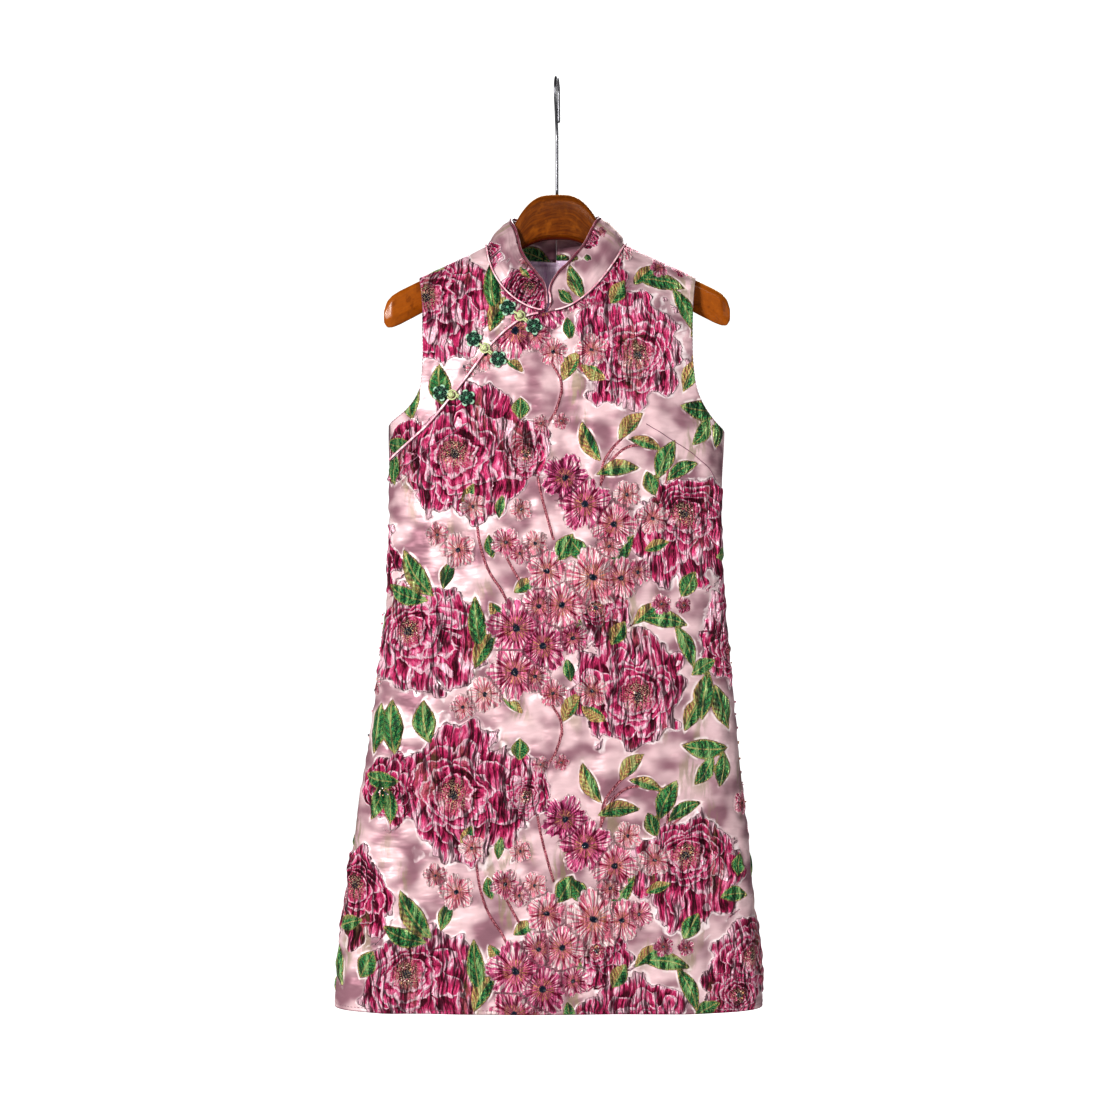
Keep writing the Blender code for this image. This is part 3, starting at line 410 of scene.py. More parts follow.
# %% Edges of the panels
ARMHOLES = np.array((
    # left_x, left_z, right_x, right_z, from the shoulder tip to the underarm
    (-160, 0, 161, 0),
    (-156, -262, 158, -259),
    (-154.8, -296, 156, -298),
    (-154.5, -338, 157, -340),
    (-158.5, -368, 161.5, -368),
    (-171, -387, 174, -392),
    (-187, -399.5, 188, -407.5),
    (-197, -406, 196, -413),
)) * MM
PLACKET = np.array((
    # x, z, from the centre front to the side seam
    (-11, -281.2), (-32, -284.5), (-54, -298), (-77, -320), (-100, -350.5),
    (-126.5, -383.5), (-148, -408), (-168, -425.5), (-186, -441), (-195.2, -449.5),
)) * MM
FRONT_NECK_Z, BACK_NECK_DROP, PLACKET_GAP = -280.0 * MM, 11.0 * MM, 0.2 * MM
NECK_ROUND_LEFT, NECK_ROUND_RIGHT, BACK_ARMHOLE_EASE = 1.1, 1.9, 5.0 * MM
NECK_SHARES = (0.0, 0.1, 0.25, 0.43, 0.62, 0.8, 0.925, 0.98, 1.0)
ARMHOLE_SHARES = (0.0, 0.02, 0.065, 0.17, 0.33, 0.50, 0.67, 0.84, 1.0)
YOKE_PLACES = (
    0, 0.055, 0.11, 0.165, 0.22, 0.275, 0.33, 0.385, 0.44, 0.465, 0.49, 0.515,
    0.54, 0.56, 0.59, 0.63, 0.685, 0.75, 0.83, 0.955, 1,
)


def neckline(share, right):
    """Front neckline: a quarter turn from the centre front up to the shoulder."""
    turn = share * np.pi / 2.0
    side = SIDE_NECK_RIGHT if right else SIDE_NECK_LEFT
    x = CENTRE_FRONT_X + (side - CENTRE_FRONT_X) * np.sin(turn)
    dip = np.maximum(np.cos(turn), 0.0) ** (NECK_ROUND_RIGHT if right else NECK_ROUND_LEFT)
    return np.stack([x, shoulder_z(side) + (FRONT_NECK_Z - shoulder_z(side)) * dip], 1)


def back_neckline(share, right):
    """Back neckline: almost level, and a little lower in the middle."""
    side = SIDE_NECK_RIGHT if right else SIDE_NECK_LEFT
    x = CENTRE_BACK_X + (side - CENTRE_BACK_X) * share
    return np.stack([x, shoulder_z(side) - BACK_NECK_DROP * (1.0 - share**2.5)], 1)


def armhole(share, right, ease=0.0):
    """Armhole from the shoulder tip to the underarm, with ease as a sine squared."""
    path = ARMHOLES[:, 2:] if right else ARMHOLES[:, :2]
    points = path.copy()
    points[0, 1] = shoulder_z(points[0, 0])
    path = smooth_path(points, share)
    path[:, 0] += ease * np.sin(np.pi * share) ** 2
    return path


def upper_edge(column, neck, right, ease=0.0):
    """The edge above a column from 0 to 20: neckline to 8, shoulder to 12, armhole to 20."""
    side = SIDE_NECK_RIGHT if right else SIDE_NECK_LEFT
    tip = ARMHOLES[0, 2 if right else 0]
    x = side + (tip - side) * np.clip((column - 8.0) / 4.0, 0.0, 1.0)
    seam = np.stack([x, shoulder_z(x)], 1)
    on_neck = neck(np.interp(column, np.arange(9), NECK_SHARES), right)
    on_arm = armhole(np.interp(column, np.arange(12, 21), ARMHOLE_SHARES), right, ease)
    return np.where(column[:, None] <= 8.0, on_neck, np.where(column[:, None] <= 12.0, seam, on_arm))


# %% [markdown]
# ## A panel of cloth as a grid
# Columns run from the middle of a panel to its side seam, rows from the hem to the cut edge. They
# are about 2 mm apart, fine enough to carry the puffed pattern as real relief. Columns gather
# where the section turns at the side, and above the yoke they run straight to their place on the edge.

# %% Grids of angle and height
ACROSS, LOW_ROWS, HIGH_ROWS = 120, 240, 128
NECK_END, SHOULDER_END = 8 * ACROSS // 20, 12 * ACROSS // 20


def column_angles(column):
    """Angles of the columns at the hem and at the yoke. At the hem they divide
    the outline by length and by turn, at the yoke by a table of places."""
    angle = np.linspace(np.pi / 2.0, 0.0, 800)
    points = cloth(angle, np.full(800, -740.0 * MM), True)[:, :2]
    step = np.diff(points, axis=0)
    length = np.linalg.norm(step, axis=1)
    heading = np.unwrap(np.arctan2(step[:, 1], step[:, 0]))
    weight = length / length.sum() + 0.32 * np.abs(np.gradient(heading)) / np.ptp(heading)
    run = np.concatenate(([0.0], np.cumsum(weight)))
    hem = np.interp(column / 20.0 * run[-1], run, angle)
    centre, half_width = section(YOKE_Z)[:2]
    yoke_x = centre + half_width * np.interp(column, np.arange(21), YOKE_PLACES)
    return hem, angle_at(yoke_x, np.full_like(yoke_x, YOKE_Z))


def half_rows(top, column, right, front, middle_x):
    """Angle and height of one half of a panel. Up to the yoke the rows are level;
    above it x and z run in a straight line to the edge, closer near its end."""
    low = np.linspace(HEM_Z, YOKE_Z, LOW_ROWS + 1)
    gather = fade(low, GATHER_Z, YOKE_Z)[None, :]
    hem, yoke = (angle[:, None] for angle in column_angles(column))
    low_angle = hem + (yoke - hem) * gather
    if not right:
        low_angle = np.pi - low_angle
    low_middle = angle_at(np.full_like(low, middle_x), low)
    turn_in = (1.0 - column / 20.0)[:, None] ** 2
    lower = low_angle + (low_middle[None, :] - low_angle[:1]) * turn_in
    z_low = np.repeat(low[None, :], len(column), 0)
    share = 1.0 - (1.0 - np.linspace(0.0, 1.0, HIGH_ROWS + 1)[1:]) ** 1.4
    z_up = YOKE_Z + (top[:, 1:2] - YOKE_Z) * share[None, :]
    yoke_x = cloth(lower[:, -1], z_low[:, -1], front)[:, :1]
    upper = angle_at(yoke_x + (top[:, :1] - yoke_x) * share[None, :], z_up)
    upper[-1] = 0.0 if right else np.pi
    return np.concatenate([lower, upper], 1), np.concatenate([z_low, z_up], 1)


def normals(points):
    """Unit normals of a grid of points, from its own differences."""
    return unit(np.cross(np.gradient(points, axis=0), np.gradient(points, axis=1)))


columns = np.linspace(0.0, 20.0, ACROSS + 1)
print("cells of the large front:", 2 * ACROSS * (LOW_ROWS + HIGH_ROWS))

# %% [markdown]
# ## The pattern of the brocade
# The design is a woven repeat of ordinary garden flowers: full peonies, small blossoms in a
# cluster, leaves and thin vines. It's laid out on a chart whose squares are 1.14 mm wide, once, and
# comes again every 341 squares. A row gives a motif's place across from the centre front and down
# from the hook, and its size. The motifs themselves are formulas, so no picture is needed.

# %% The chart, one repeat
CHART, REPEAT, FLARE_SPREAD = 1.14 * MM, 341.0, 0.012
CHART_TOP, CHART_BOTTOM, REPEATS = 150.0, 1010.0, (-2, -1, 0, 1, 2)
PEONIES = np.array((
    # across, down, radius, heart_across, heart_down, depth of colour
    (72, 621, 60, 9, 9, 0.42),
    (-91, 727, 70, -12, 2, 0.58),
    (134, 806, 58, -5, -17, 0.6),
    (-134, 576, 60, -15, -10, 0.45),
    (-209, 834, 50, 6, -12, 1),
    (195, 894, 46, 0, 0, 0.45),
    (42, 550, 33, -3, -8, 0.6),
    (174, 585, 34, 6, 4, 0.7),
    (-36, 722, 30, 4, 8, 0.2),
    (-262, 690, 44, 4, -6, 0.6), (252, 716, 44, -4, 6, 0.55), (-284, 560, 40, 0, 0, 0.75),
    (270, 600, 38, 0, 4, 0.4), (262, 820, 38, 3, 0, 0.7),
    (-166, 724, 34, -6, 4, 0.85),
), float)
BLOSSOMS = np.array((
    # across, down, radius, depth of colour
    (8, 411, 25, 0.95), (28, 438, 29, 0.8), (57, 458, 25, 0.5), (36, 511, 32, 0.3),
    (64, 512, 22, 0.4), (81, 506, 15, 0.6), (5, 539, 27, 0.45), (-41, 562, 31, 0.75),
    (-14, 580, 28, 0.8), (-42, 606, 30, 0.65), (-22, 477, 14, 0.2), (70, 428, 15, 0.2),
    (-51, 476, 16, 0.55), (-37, 487, 12, 0.6), (-99, 484, 19, 0.25), (-72, 628, 19, 0.2),
    (-94, 641, 14, 0.25), (-4, 627, 15, 0.35), (105, 538, 11, 0.7), (127, 539, 9, 0.7),
    (-16, 698, 9, 0.45), (4, 696, 9, 0.45), (-120, 468, 13, 0.3), (96, 452, 17, 0.3),
    (-36, 443, 12, 0.2), (-10, 505, 22, 0.4), (-18, 540, 20, 0.55), (16, 572, 17, 0.7),
    (-22, 610, 17, 0.55), (52, 480, 14, 0.35), (-84, 440, 14, 0.2), (35, 625, 17, 0.3),
    (-238, 622, 15, 0.4), (-252, 760, 17, 0.3), (226, 660, 14, 0.5), (216, 770, 15, 0.35),
    (-226, 500, 16, 0.6), (228, 520, 18, 0.45), (-190, 620, 13, 0.35), (190, 740, 13, 0.5),
), float)
LEAVES = np.array((
    # across, down, half_length, half_width, turn, bend, gold share
    (35, 716, 23, 8, 116, 0.25, 0.6), (75, 701, 18, 8, 48, 0.2, 0.9),
    (89, 719, 18, 6, -18, 0.2, 0.5), (62, 746, 22, 8, 8, 0.25, 0.45),
    (111, 734, 22, 10, 64, 0.1, 0.1), (128, 746, 20, 7, 28, 0.25, 0.1),
    (95, 758, 13, 8, 110, 0, 0.3), (149, 681, 25, 10, 176, 0.15, 0.05),
    (147, 704, 18, 8, 238, 0.2, 0.1), (165, 704, 18, 9, 262, 0.1, 0.05),
    (128, 581, 24, 8, 295, 0.2, 0.05), (148, 602, 15, 8, 30, 0.1, 0.1),
    (150, 630, 25, 11, 80, 0.1, 0.35), (166, 642, 24, 11, 110, 0, 0.3),
    (138, 648, 20, 9, 60, 0.1, 0.45), (-130, 656, 22, 12, 100, 0.15, 0),
    (-164, 662, 28, 13, 95, 0.1, 0.25), (-181, 664, 26, 11, 80, 0, 0.2),
    (-176, 713, 20, 9, 172, 0.15, 0), (-181, 736, 21, 8, 250, 0.15, 0.05),
    (-168, 741, 18, 8, 275, 0.1, 0.05), (-139, 507, 29, 11, 125, 0.2, 0.35),
    (-150, 526, 24, 9, 160, 0.25, 0.15), (-109, 508, 16, 7, 70, 0.1, 0.3),
    (66, 486, 21, 9, 58, 0.15, 0.25), (8, 481, 16, 10, 60, 0, 0.15),
    (21, 483, 16, 9, 130, 0, 0.2), (-71, 584, 22, 9, 60, 0.2, 0.6),
    (-45, 638, 15, 5, -40, 0.1, 0.8), (-37, 683, 11, 9, 90, 0, 0.3),
    (61, 567, 14, 9, 60, 0, 0.5), (107, 556, 25, 9, -8, 0.2, 0.3),
    (90, 547, 18, 7, 40, 0.1, 0.6), (14, 641, 17, 8, 60, 0.1, 0.85),
    (37, 647, 15, 7, 150, 0.1, 0.85), (132, 518, 15, 10, 60, 0, 0.2),
    (-32, 520, 13, 7, 30, 0.1, 0.5), (20, 566, 14, 7, 75, 0.1, 0.35),
    (-60, 545, 12, 6, 130, 0.1, 0.7), (-8, 548, 15, 6, 20, 0.2, 0.6),
    (-56, 440, 12, 5, 80, 0.1, 0.3), (12, 604, 12, 6, 100, 0, 0.2),
    (100, 480, 14, 6, 20, 0.1, 0.6), (-66, 480, 12, 6, 100, 0.1, 0.25),
    (182, 800, 12, 8, 80, 0, 0.1), (178, 832, 16, 8, 0, 0.2, 0.1),
    (-190, 899, 16, 11, 60, 0, 0.05), (-88, 430, 14, 6, 70, 0.1, 0.45),
    (-232, 652, 22, 9, 60, 0.15, 0.1), (-222, 560, 24, 10, 110, 0.1, 0.2),
    (-246, 590, 20, 9, 40, 0.1, 0.4), (222, 628, 24, 10, 70, 0.15, 0.15),
    (232, 560, 20, 8, 120, 0.1, 0.4), (216, 800, 22, 9, 50, 0.1, 0.1),
    (-228, 770, 20, 8, 130, 0.1, 0.2), (-280, 630, 18, 8, 80, 0.1, 0.1),
    (286, 660, 20, 9, 100, 0.1, 0.3), (-206, 520, 18, 8, 20, 0.1, 0.3),
    (-78, 559, 30, 9, 98, 0.1, 0.25),
), float)
VINES = (
    # places along each stem: across, down
    ((5, 665), (-1, 686), (-13, 704), (-21, 731), (-18, 758), (-10, 791), (-4, 812)),
    ((-81, 794), (-76, 824), (-67, 848), (-55, 866), (-44, 890)),
    ((44, 758), (47, 736), (60, 718), (78, 702)),
    ((44, 758), (54, 736), (70, 722), (90, 719)),
    ((101, 774), (110, 757), (112, 736)),
    ((101, 774), (116, 758), (136, 741)),
    ((-49, 494), (-40, 510), (-30, 524)),
    ((-4, 640), (4, 655), (5, 668)),
)
print("motifs in a repeat:", len(PEONIES) + len(BLOSSOMS) + len(LEAVES) + len(VINES))

# %% [markdown]
# ## Reading the chart on the cloth
# For each point of the cloth the nearest motif is found, and the point's place in that motif's own
# frame is kept with the mesh: a place inside a flower of radius 1, or along and across a leaf. The
# materials draw petals and veins from it, sharp at any size, and the same values raise the relief.


# %% Motif fields
LATTICE, LOBE_CUT = np.random.default_rng(7).random((128, 128)), 0.13


def soft_noise(a, b):
    """Smooth noise from 0 to 1: values on a lattice, blended with S-curves."""
    i, j = np.floor(a).astype(int), np.floor(b).astype(int)
    u, v = a - i, b - j
    u, v = u * u * (3 - 2 * u), v * v * (3 - 2 * v)
    low = LATTICE[i % 128, j % 128] * (1 - u) + LATTICE[(i + 1) % 128, j % 128] * u
    high = LATTICE[i % 128, (j + 1) % 128] * (1 - u) + LATTICE[(i + 1) % 128, (j + 1) % 128] * u
    return low * (1 - v) + high * v


def repeats(rows, shift):
    """The rows again above and below. Each repeat spreads a little with the flare."""
    found = []
    for k in REPEATS:
        again = np.array(rows, float)
        again[:, 0] = again[:, 0] * (1.0 + FLARE_SPREAD * k) + shift[0]
        again[:, 1] = again[:, 1] + REPEAT * k + shift[1]
        found.append(again)
    return np.concatenate(found)


def unwrap(rows, front):
    """Turns places as seen from the front into places along the cloth. Those
    beyond the side as seen go on round it."""
    rows = rows[(rows[:, 1] > CHART_TOP) & (rows[:, 1] < CHART_BOTTOM)]
    z = np.clip(-rows[:, 1] * CHART, HEM_Z, -190.0 * MM)
    centre, half_width = section(z)[:2]
    x = rows[:, 0] * CHART
    seen_x = np.clip(x, centre - 0.96 * half_width, centre + 0.96 * half_width)
    run = cloth_run(angle_at(seen_x, z), z, front)
    rows[:, 0] = (centre + run + x - seen_x) / CHART
    return rows


def nearest(rows, measure):
    """Of every motif's fields (place x, place y, far, tone), those whose far is least."""
    best = None
    for row in rows:
        x, y, far, tone = measure(row)
        found = (x, y, far, np.full_like(far, tone))
        if best is None:
            best = found
        closer = far < best[2]
        best = [np.where(closer, new, kept) for new, kept in zip(found, best)]
    return best


def motif_fields(across, down, tables):
    """Peony, blossom, leaf and vine fields of places on the chart. Noise crumples
    the peonies, so that their petals push out unevenly."""
    peonies, blossoms, leaves, vines = tables
    a, b = 0.8 * across + 0.6 * down, 0.8 * down - 0.6 * across
    crumple = 1.0 + 0.34 * (soft_noise(a / 13.0, b / 13.0) - 0.5)
    crumple = crumple + 0.08 * (soft_noise(b / 5.5 + 50.0, a / 5.5) - 0.5)

    def in_peony(row):
        """Place over the radius, drawn towards the heart; far is 1 on the lobed outline."""
        x, y = (across - row[0]) / row[2], (row[1] - down) / row[2]
        heart_x, heart_y = row[3] / row[2], -row[4] / row[2]
        pull = 1.0 - fade(np.hypot(x, y), 0.35, 1.0)
        x, y = (x - heart_x * pull) * crumple, (y - heart_y * pull) * crumple
        lobes = np.abs(np.cos(4.5 * np.arctan2(y, x) + 0.3)) ** 0.6
        return x, y, np.hypot(x, y) / (1.0 - LOBE_CUT + LOBE_CUT * lobes), row[5]

    def in_blossom(row):
        """Place over the radius."""
        x, y = (across - row[0]) / row[2], (row[1] - down) / row[2]
        return x, y, np.hypot(x, y), row[3]

    def in_leaf(row):
        """Along and across; far is 1 on an outline that is pointed at both ends."""
        turn = np.radians(row[4])
        x, y = across - row[0], row[1] - down
        along = (x * np.cos(turn) + y * np.sin(turn)) / row[2]
        side = (y * np.cos(turn) - x * np.sin(turn)) / row[3] - row[5] * (1.0 - along**2) * 2.0
        return along, side, np.abs(side) + np.abs(along) ** 1.7, row[6]

    vine_side, vine_far = np.full_like(across, 50.0), np.full_like(across, 50.0)
    for line in vines:
        path = smooth_path(line, 14)
        for a, b in zip(path[:-1], path[1:]):
            step = b - a
            length = np.hypot(*step)
            run = np.clip(((across - a[0]) * step[0] + (down - a[1]) * step[1]) / length**2, 0, 1)
            gap_x, gap_y = across - a[0] - run * step[0], down - a[1] - run * step[1]
            far = np.hypot(gap_x, gap_y)
            closer = far < vine_far
            side = ((across - a[0]) * step[1] - (down - a[1]) * step[0]) / length
            vine_far[closer], vine_side[closer] = far[closer], side[closer]
    return (nearest(peonies, in_peony), nearest(blossoms, in_blossom), nearest(leaves, in_leaf),
            (vine_side, vine_far))


def pattern_tables(shift, front):
    """The repeat's tables set out over a whole panel."""
    tables = [unwrap(repeats(rows, shift), front) for rows in (PEONIES, BLOSSOMS, LEAVES)]
    lines = [np.array(line, float) + (shift[0], shift[1] + REPEAT * k) for line in VINES for k in REPEATS]
    lines = [line for line in lines if line[:, 1].max() > CHART_TOP and line[:, 1].min() < CHART_BOTTOM]
    return (*tables, lines)


# %% [markdown]
# ## Relief of the cloth
# This brocade is woven so that its motifs puff up from the satin ground and crimp into upright
# ribs. Real relief carries the puff, the wide ribs and the creases; the finest crimp is left to the
# material. Where frogs and piping press on the cloth, the relief fades.

# %% Relief
CREASES = (
    # across, down, half_length, turn, breadth, depth in mm
    (6, 668, 42, -6, 3.6, 1.5), (0, 681, 46, -2, 3, 1.4), (14, 694, 38, 4, 3.4, 1.5),
    (-8, 706, 30, 3, 3, 1.1), (-44, 800, 34, 5, 3.4, 1.3), (-52, 818, 26, -4, 3.2, 1),
    (118, 700, 40, -3, 3.2, 1.4), (110, 716, 32, 5, 3, 1.1), (-8, 330, 34, 12, 5, 0.8),
    (-2, 372, 30, -14, 5, 0.7), (-140, 470, 34, 3, 4, 0.6), (96, 905, 36, 2, 4, 0.7),
    (150, 500, 26, -70, 4, 0.5), (-60, 385, 26, 60, 5, 0.6), (60, 395, 36, -20, 5, 0.5),
)
FREE_DEPTH, LAST_DEPTH = 0.8, 0.7  # mm: troughs keep their form to the first and level off by the second


def relief(across, down, fields, calm):
    """Height of the cloth above its plain form: motifs puff up, upright ribs
    crimp them, and creases are troughs with soft ends, never deeper than 1.5 mm,
    so the wall stays whole. All in metres."""
    peony, blossom, leaf, vine = fields
    edge = soft_noise(across / 7.0, down / 7.0) * 0.14
    gaps = [(peony[2] - 1.0) * 50.0, (blossom[2] + edge - 1.0) * 18.0, (leaf[2] - 1.0) * 7.0,
            vine[1] - 1.6]
    gap = np.minimum.reduce(gaps)
    woven = 1.0 - fade(gap, -1.5, 1.5)
    pillow = 1.7 * (1.0 - np.exp(-np.abs(np.minimum(gap, 0.0)) / 2.5))
    ground = 1.3 * (1.0 - np.exp(-np.maximum(gap, 0.0) / 6.0))
    on_peony = 1.0 - fade(peony[2], 0.97, 1.06)
    on_blossom = 1.0 - fade(blossom[2], 0.80, 1.0)
    rings = 0.5 - 0.5 * np.cos(2 * np.pi * (peony[2] * 2.6 + edge * 2.0))
    wander = across + 5.0 * soft_noise(across / 25.0 + 9.0, down / 45.0)
    ribs = soft_noise(wander / 4.6, down / 30.0) - 0.5
    wide = soft_noise(wander / 13.0 + 31.0, down / 90.0) - 0.5
    height = np.where(gap < 0.0, pillow, ground)
    height = height + on_peony * 1.1 * rings + woven * (3.2 - 1.7 * on_blossom) * ribs
    height = height + 2.2 * wide + 2.4 * (soft_noise(across / 14.0, down / 8.0) - 0.5)
    for place, low, half_length, turn, breadth, depth in CREASES:
        turn = np.radians(turn)
        x, y = across - place, low - down
        along = (x * np.cos(turn) + y * np.sin(turn)) / half_length
        side = (y * np.cos(turn) - x * np.sin(turn)
                + 3.0 * np.sin(3.0 * along + place)) / breadth
        trough = depth * np.exp(-side**2) - 0.45 * depth * np.exp(-((side - 1.8) ** 2))
        height = height - trough * np.maximum(1.0 - along**2, 0.0) * (1.0 - 0.7 * on_peony)
    low = np.minimum(height + FREE_DEPTH, 0.0)
    height = np.maximum(height, -FREE_DEPTH) - LAST_DEPTH * (1.0 - np.exp(low / LAST_DEPTH))
    return height * (1.0 - calm) * MM


print("creases set by hand:", len(CREASES))

# %% [markdown]
# ## Mesh makers
# Three makers serve every piece: a closed wall of cloth with a fine outside and a coarser inside,
# a row of rings closed to a tube, and a round cord carried along a path.


# %% Makers
def add_mesh(name, points, faces, looks, slots=None):
    """A smooth mesh object with its materials; slots gives the material of each face."""
    mesh = bpy.data.meshes.new(name)
    mesh.from_pydata(np.asarray(points).tolist(), [], [list(face) for face in faces])
    for look in looks:
        mesh.materials.append(look)
    if slots is not None:
        mesh.polygons.foreach_set("material_index", np.asarray(slots, np.int32))
    mesh.shade_smooth()
    made = bpy.data.objects.new(name, mesh)
    scene.collection.objects.link(made)
    return made


def add_field(made, name, *parts):
    """Keeps a value, or three, with each point; points that come later get 9."""
    values = np.stack([np.ravel(part) for part in parts], 1).astype(np.float32)
    filled = np.full((len(made.data.vertices), len(parts)), 9.0, np.float32)
    filled[:len(values)] = values
    one = len(parts) == 1
    field = made.data.attributes.new(name, "FLOAT" if one else "FLOAT_VECTOR", "POINT")
    field.data.foreach_set("value" if one else "vector", filled.ravel())


def keep(made, node=None):
    """Attaches a piece of the dress to the root body and hides the imported node that it replaces, if one
    is given.
    """
    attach(made, "root")
    if node:
        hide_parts(node)
    return made


def grid_quads(across, up, start=0, flip=False):
    """The cells of a grid of points as an array of quads."""
    i, j = np.meshgrid(np.arange(across), np.arange(up), indexing="ij")
    a = (start + i * (up + 1) + j).ravel()
    quads = np.stack([a, a + up + 1, a + up + 2, a + 1], 1)
    return quads[:, ::-1] if flip else quads


def border(across, up):
    """Places of a grid's border points, once round."""
    loop = [(i, 0) for i in range(across)] + [(across, j) for j in range(up)]
    return loop + [(i, up) for i in range(across, 0, -1)] + [(0, j) for j in range(up, 0, -1)]


def add_wall(name, outer, inner, looks, every=4):
    """A closed wall. Its outside has every point, its inside each fourth, and a
    rim of triangles joins the borders. The way its faces turn follows inner."""
    across, up = outer.shape[0] - 1, outer.shape[1] - 1
    middle = (across // 2, up // 2)
    flip = normals(outer)[middle] @ (outer[middle] - inner[middle]) < 0
    coarse = inner[::every, ::every]
    count, rows = outer.shape[0] * outer.shape[1], up // every + 1
    fine = grid_quads(across, up, 0, flip)
    back = grid_quads(across // every, up // every, count, not flip)
    loop, rim = border(across, up), []
    for k in range(0, len(loop), every):
        ends = [loop[k], loop[(k + every) % len(loop)]]
        first, last = (count + i // every * rows + j // every for i, j in ends)
        run = [loop[(k + s) % len(loop)] for s in range(every + 1)]
        run = [i * (up + 1) + j for i, j in run]
        half = every // 2
        rim += [(b, a, first if s < half else last) for s, (a, b) in enumerate(zip(run, run[1:]))]
        rim.append((run[half], first, last))
    if flip:
        rim = [face[::-1] for face in rim]
    points = np.concatenate([outer.reshape(-1, 3), coarse.reshape(-1, 3)])
    faces = fine.tolist() + rim + back.tolist()
    slots = [0] * (len(fine) + len(rim)) + [len(looks) - 1] * len(back)
    return add_mesh(name, points, faces, looks, slots)


def frames_along(path):
    """Two directions square to a path, carried along it without twist."""
    tangent = unit(np.gradient(path, axis=0))
    side = np.cross(tangent[0], np.eye(3)[np.argmin(np.abs(tangent[0]))])
    sides = []
    for along in tangent:
        side = unit(side - along * (side @ along))
        sides.append(side)
    sides = np.array(sides)
    return sides, np.cross(tangent, sides)


def tube(rings, first, last):
    """Points and faces of rings of points, joined in a row and closed by fans of
    triangles round the points first and last."""
    count, sides = rings.shape[:2]
    points = np.concatenate([rings.reshape(-1, 3), first, last])
    k, s = np.meshgrid(np.arange(count - 1), np.arange(sides), indexing="ij")
    a, b = (k * sides + s).ravel(), (k * sides + (s + 1) % sides).ravel()
    faces = np.stack([a, b, b + sides, a + sides], 1).tolist()
    middle, end = count * sides, (count - 1) * sides
    faces += [(middle, (s + 1) % sides, s) for s in range(sides)]
    faces += [(middle + 1, end + s, end + (s + 1) % sides) for s in range(sides)]
    return points, faces


def cord_points(path, radius, sides):
    """Points and faces of a round cord: a circle carried along a path."""
    path = np.asarray(path, float)
    radius = np.broadcast_to(radius, (len(path),))[:, None, None]
    side, other = frames_along(path)
    turn = np.linspace(0.0, 2.0 * np.pi, sides, endpoint=False)[None, :, None]
    rings = path[:, None] + radius * (np.cos(turn) * side[:, None] + np.sin(turn) * other[:, None])
    return tube(rings, path[:1], path[-1:])


def add_cords(name, cords, look, outward=None):
    """Several cords, each (path, radius, sides), joined in one mesh. Each point
    keeps how far along and round its cord it lies, in millimetres and turns, and its
    cord's number; or, where outward is given, how far it faces that way, from -1 to 1."""
    points, faces, places, start = [], [], [], 0
    for k, (path, radius, sides) in enumerate(cords):
        made, cells = cord_points(path, radius, sides)
        run = run_of(path)
        along = np.concatenate([np.repeat(run, sides), run[:1], run[-1:]]) / MM
        round_it = np.concatenate([np.tile(np.arange(sides) / sides, len(path)), [0.0, 0.0]])
        third = np.full(len(made), float(k))
        if outward is not None:
            across = unit(made[:-2].reshape(len(path), sides, 3) - path[:, None])
            third[:-2] = np.sum(across * outward[:, None], -1).ravel()
        places.append(np.stack([along, round_it, third], 1))
        points.append(made)
        faces += [[i + start for i in face] for face in cells]
        start += len(made)
    made = add_mesh(name, np.concatenate(points), faces, [look])
    add_field(made, "cord_place", *np.concatenate(places).T)
    return made


# %% Materials, plain at first
brocade = plain("blush brocade", (0.70, 0.42, 0.50), 0.4)
lining_satin = plain("lilac lining satin", (0.62, 0.47, 0.58), 0.4)
piping_satin = plain("pink piping satin", (0.75, 0.38, 0.5), 0.35)
green_cord = plain("green frog cord", (0.02, 0.2, 0.1), 0.35)
pale_cord = plain("pale green frog cord", (0.5, 0.6, 0.35), 0.4)
hanger_varnish = plain("varnished hanger wood", (0.5, 0.2, 0.04), 0.25)
hook_steel = plain("hook steel", (0.2, 0.2, 0.21), 0.3)

# %% [markdown]
# ## The panels
# A cheongsam's front has two pieces: a large one from hem to curved opening and up to one shoulder,
# and a small one above the opening. The back is cut in halves with a seam down its middle. Each
# panel is a wall 2 mm thick, brocade outside and lining inside, and ends half a seam gap from the next.

# %% Frog places
FROGS = (
    # name, flower_a_x, flower_a_z, flower_b_x, flower_b_z
    ("frog_1", -55.6, -275.6, -26.0, -297.4),
    ("frog_2", -94.6, -311.0, -66.6, -334.0),
    ("frog_3", -132.6, -371.8, -102.2, -378.0),
)
PLACKET_FINE = smooth_path(PLACKET, 60)


def calm_at(x, z):
    """1 under the frogs and beside the opening, where the cloth is held flat."""
    calm = np.zeros_like(x)
    for px, pz in PLACKET_FINE[::2]:
        calm = np.maximum(calm, 1.0 - fade(np.hypot(x - px, z - pz), 3.5 * MM, 12.0 * MM))
    for _, ax, az, bx, bz in FROGS:
        for fx, fz in ((ax, az), (bx, bz)):
            calm = np.maximum(calm, 1.0 - fade(np.hypot(x - fx * MM, z - fz * MM), 11 * MM, 20 * MM))
    return calm


FRONT_TABLES = pattern_tables((0.0, 0.0), True)
SHOULDER_TABLES = pattern_tables((14.0, 4.0), True)
BACK_TABLES = pattern_tables((30.0, -130.0), False)


def edge_calm(points):
    """1 on a grid's border and 0 from 10 mm inwards, measured along rows and columns,
    and the distance itself in millimetres."""
    nearest_edge = np.full(points.shape[:2], 1.0)
    for axis in (0, 1):
        steps = np.linalg.norm(np.diff(points, axis=axis), axis=-1)
        run = np.insert(np.cumsum(steps, axis=axis), 0, 0.0, axis=axis)
        whole = run[-1:] if axis == 0 else run[:, -1:]
        nearest_edge = np.minimum(nearest_edge, np.minimum(run, whole - run))
    return 1.0 - fade(nearest_edge, 1.0 * MM, 10.0 * MM), nearest_edge / MM


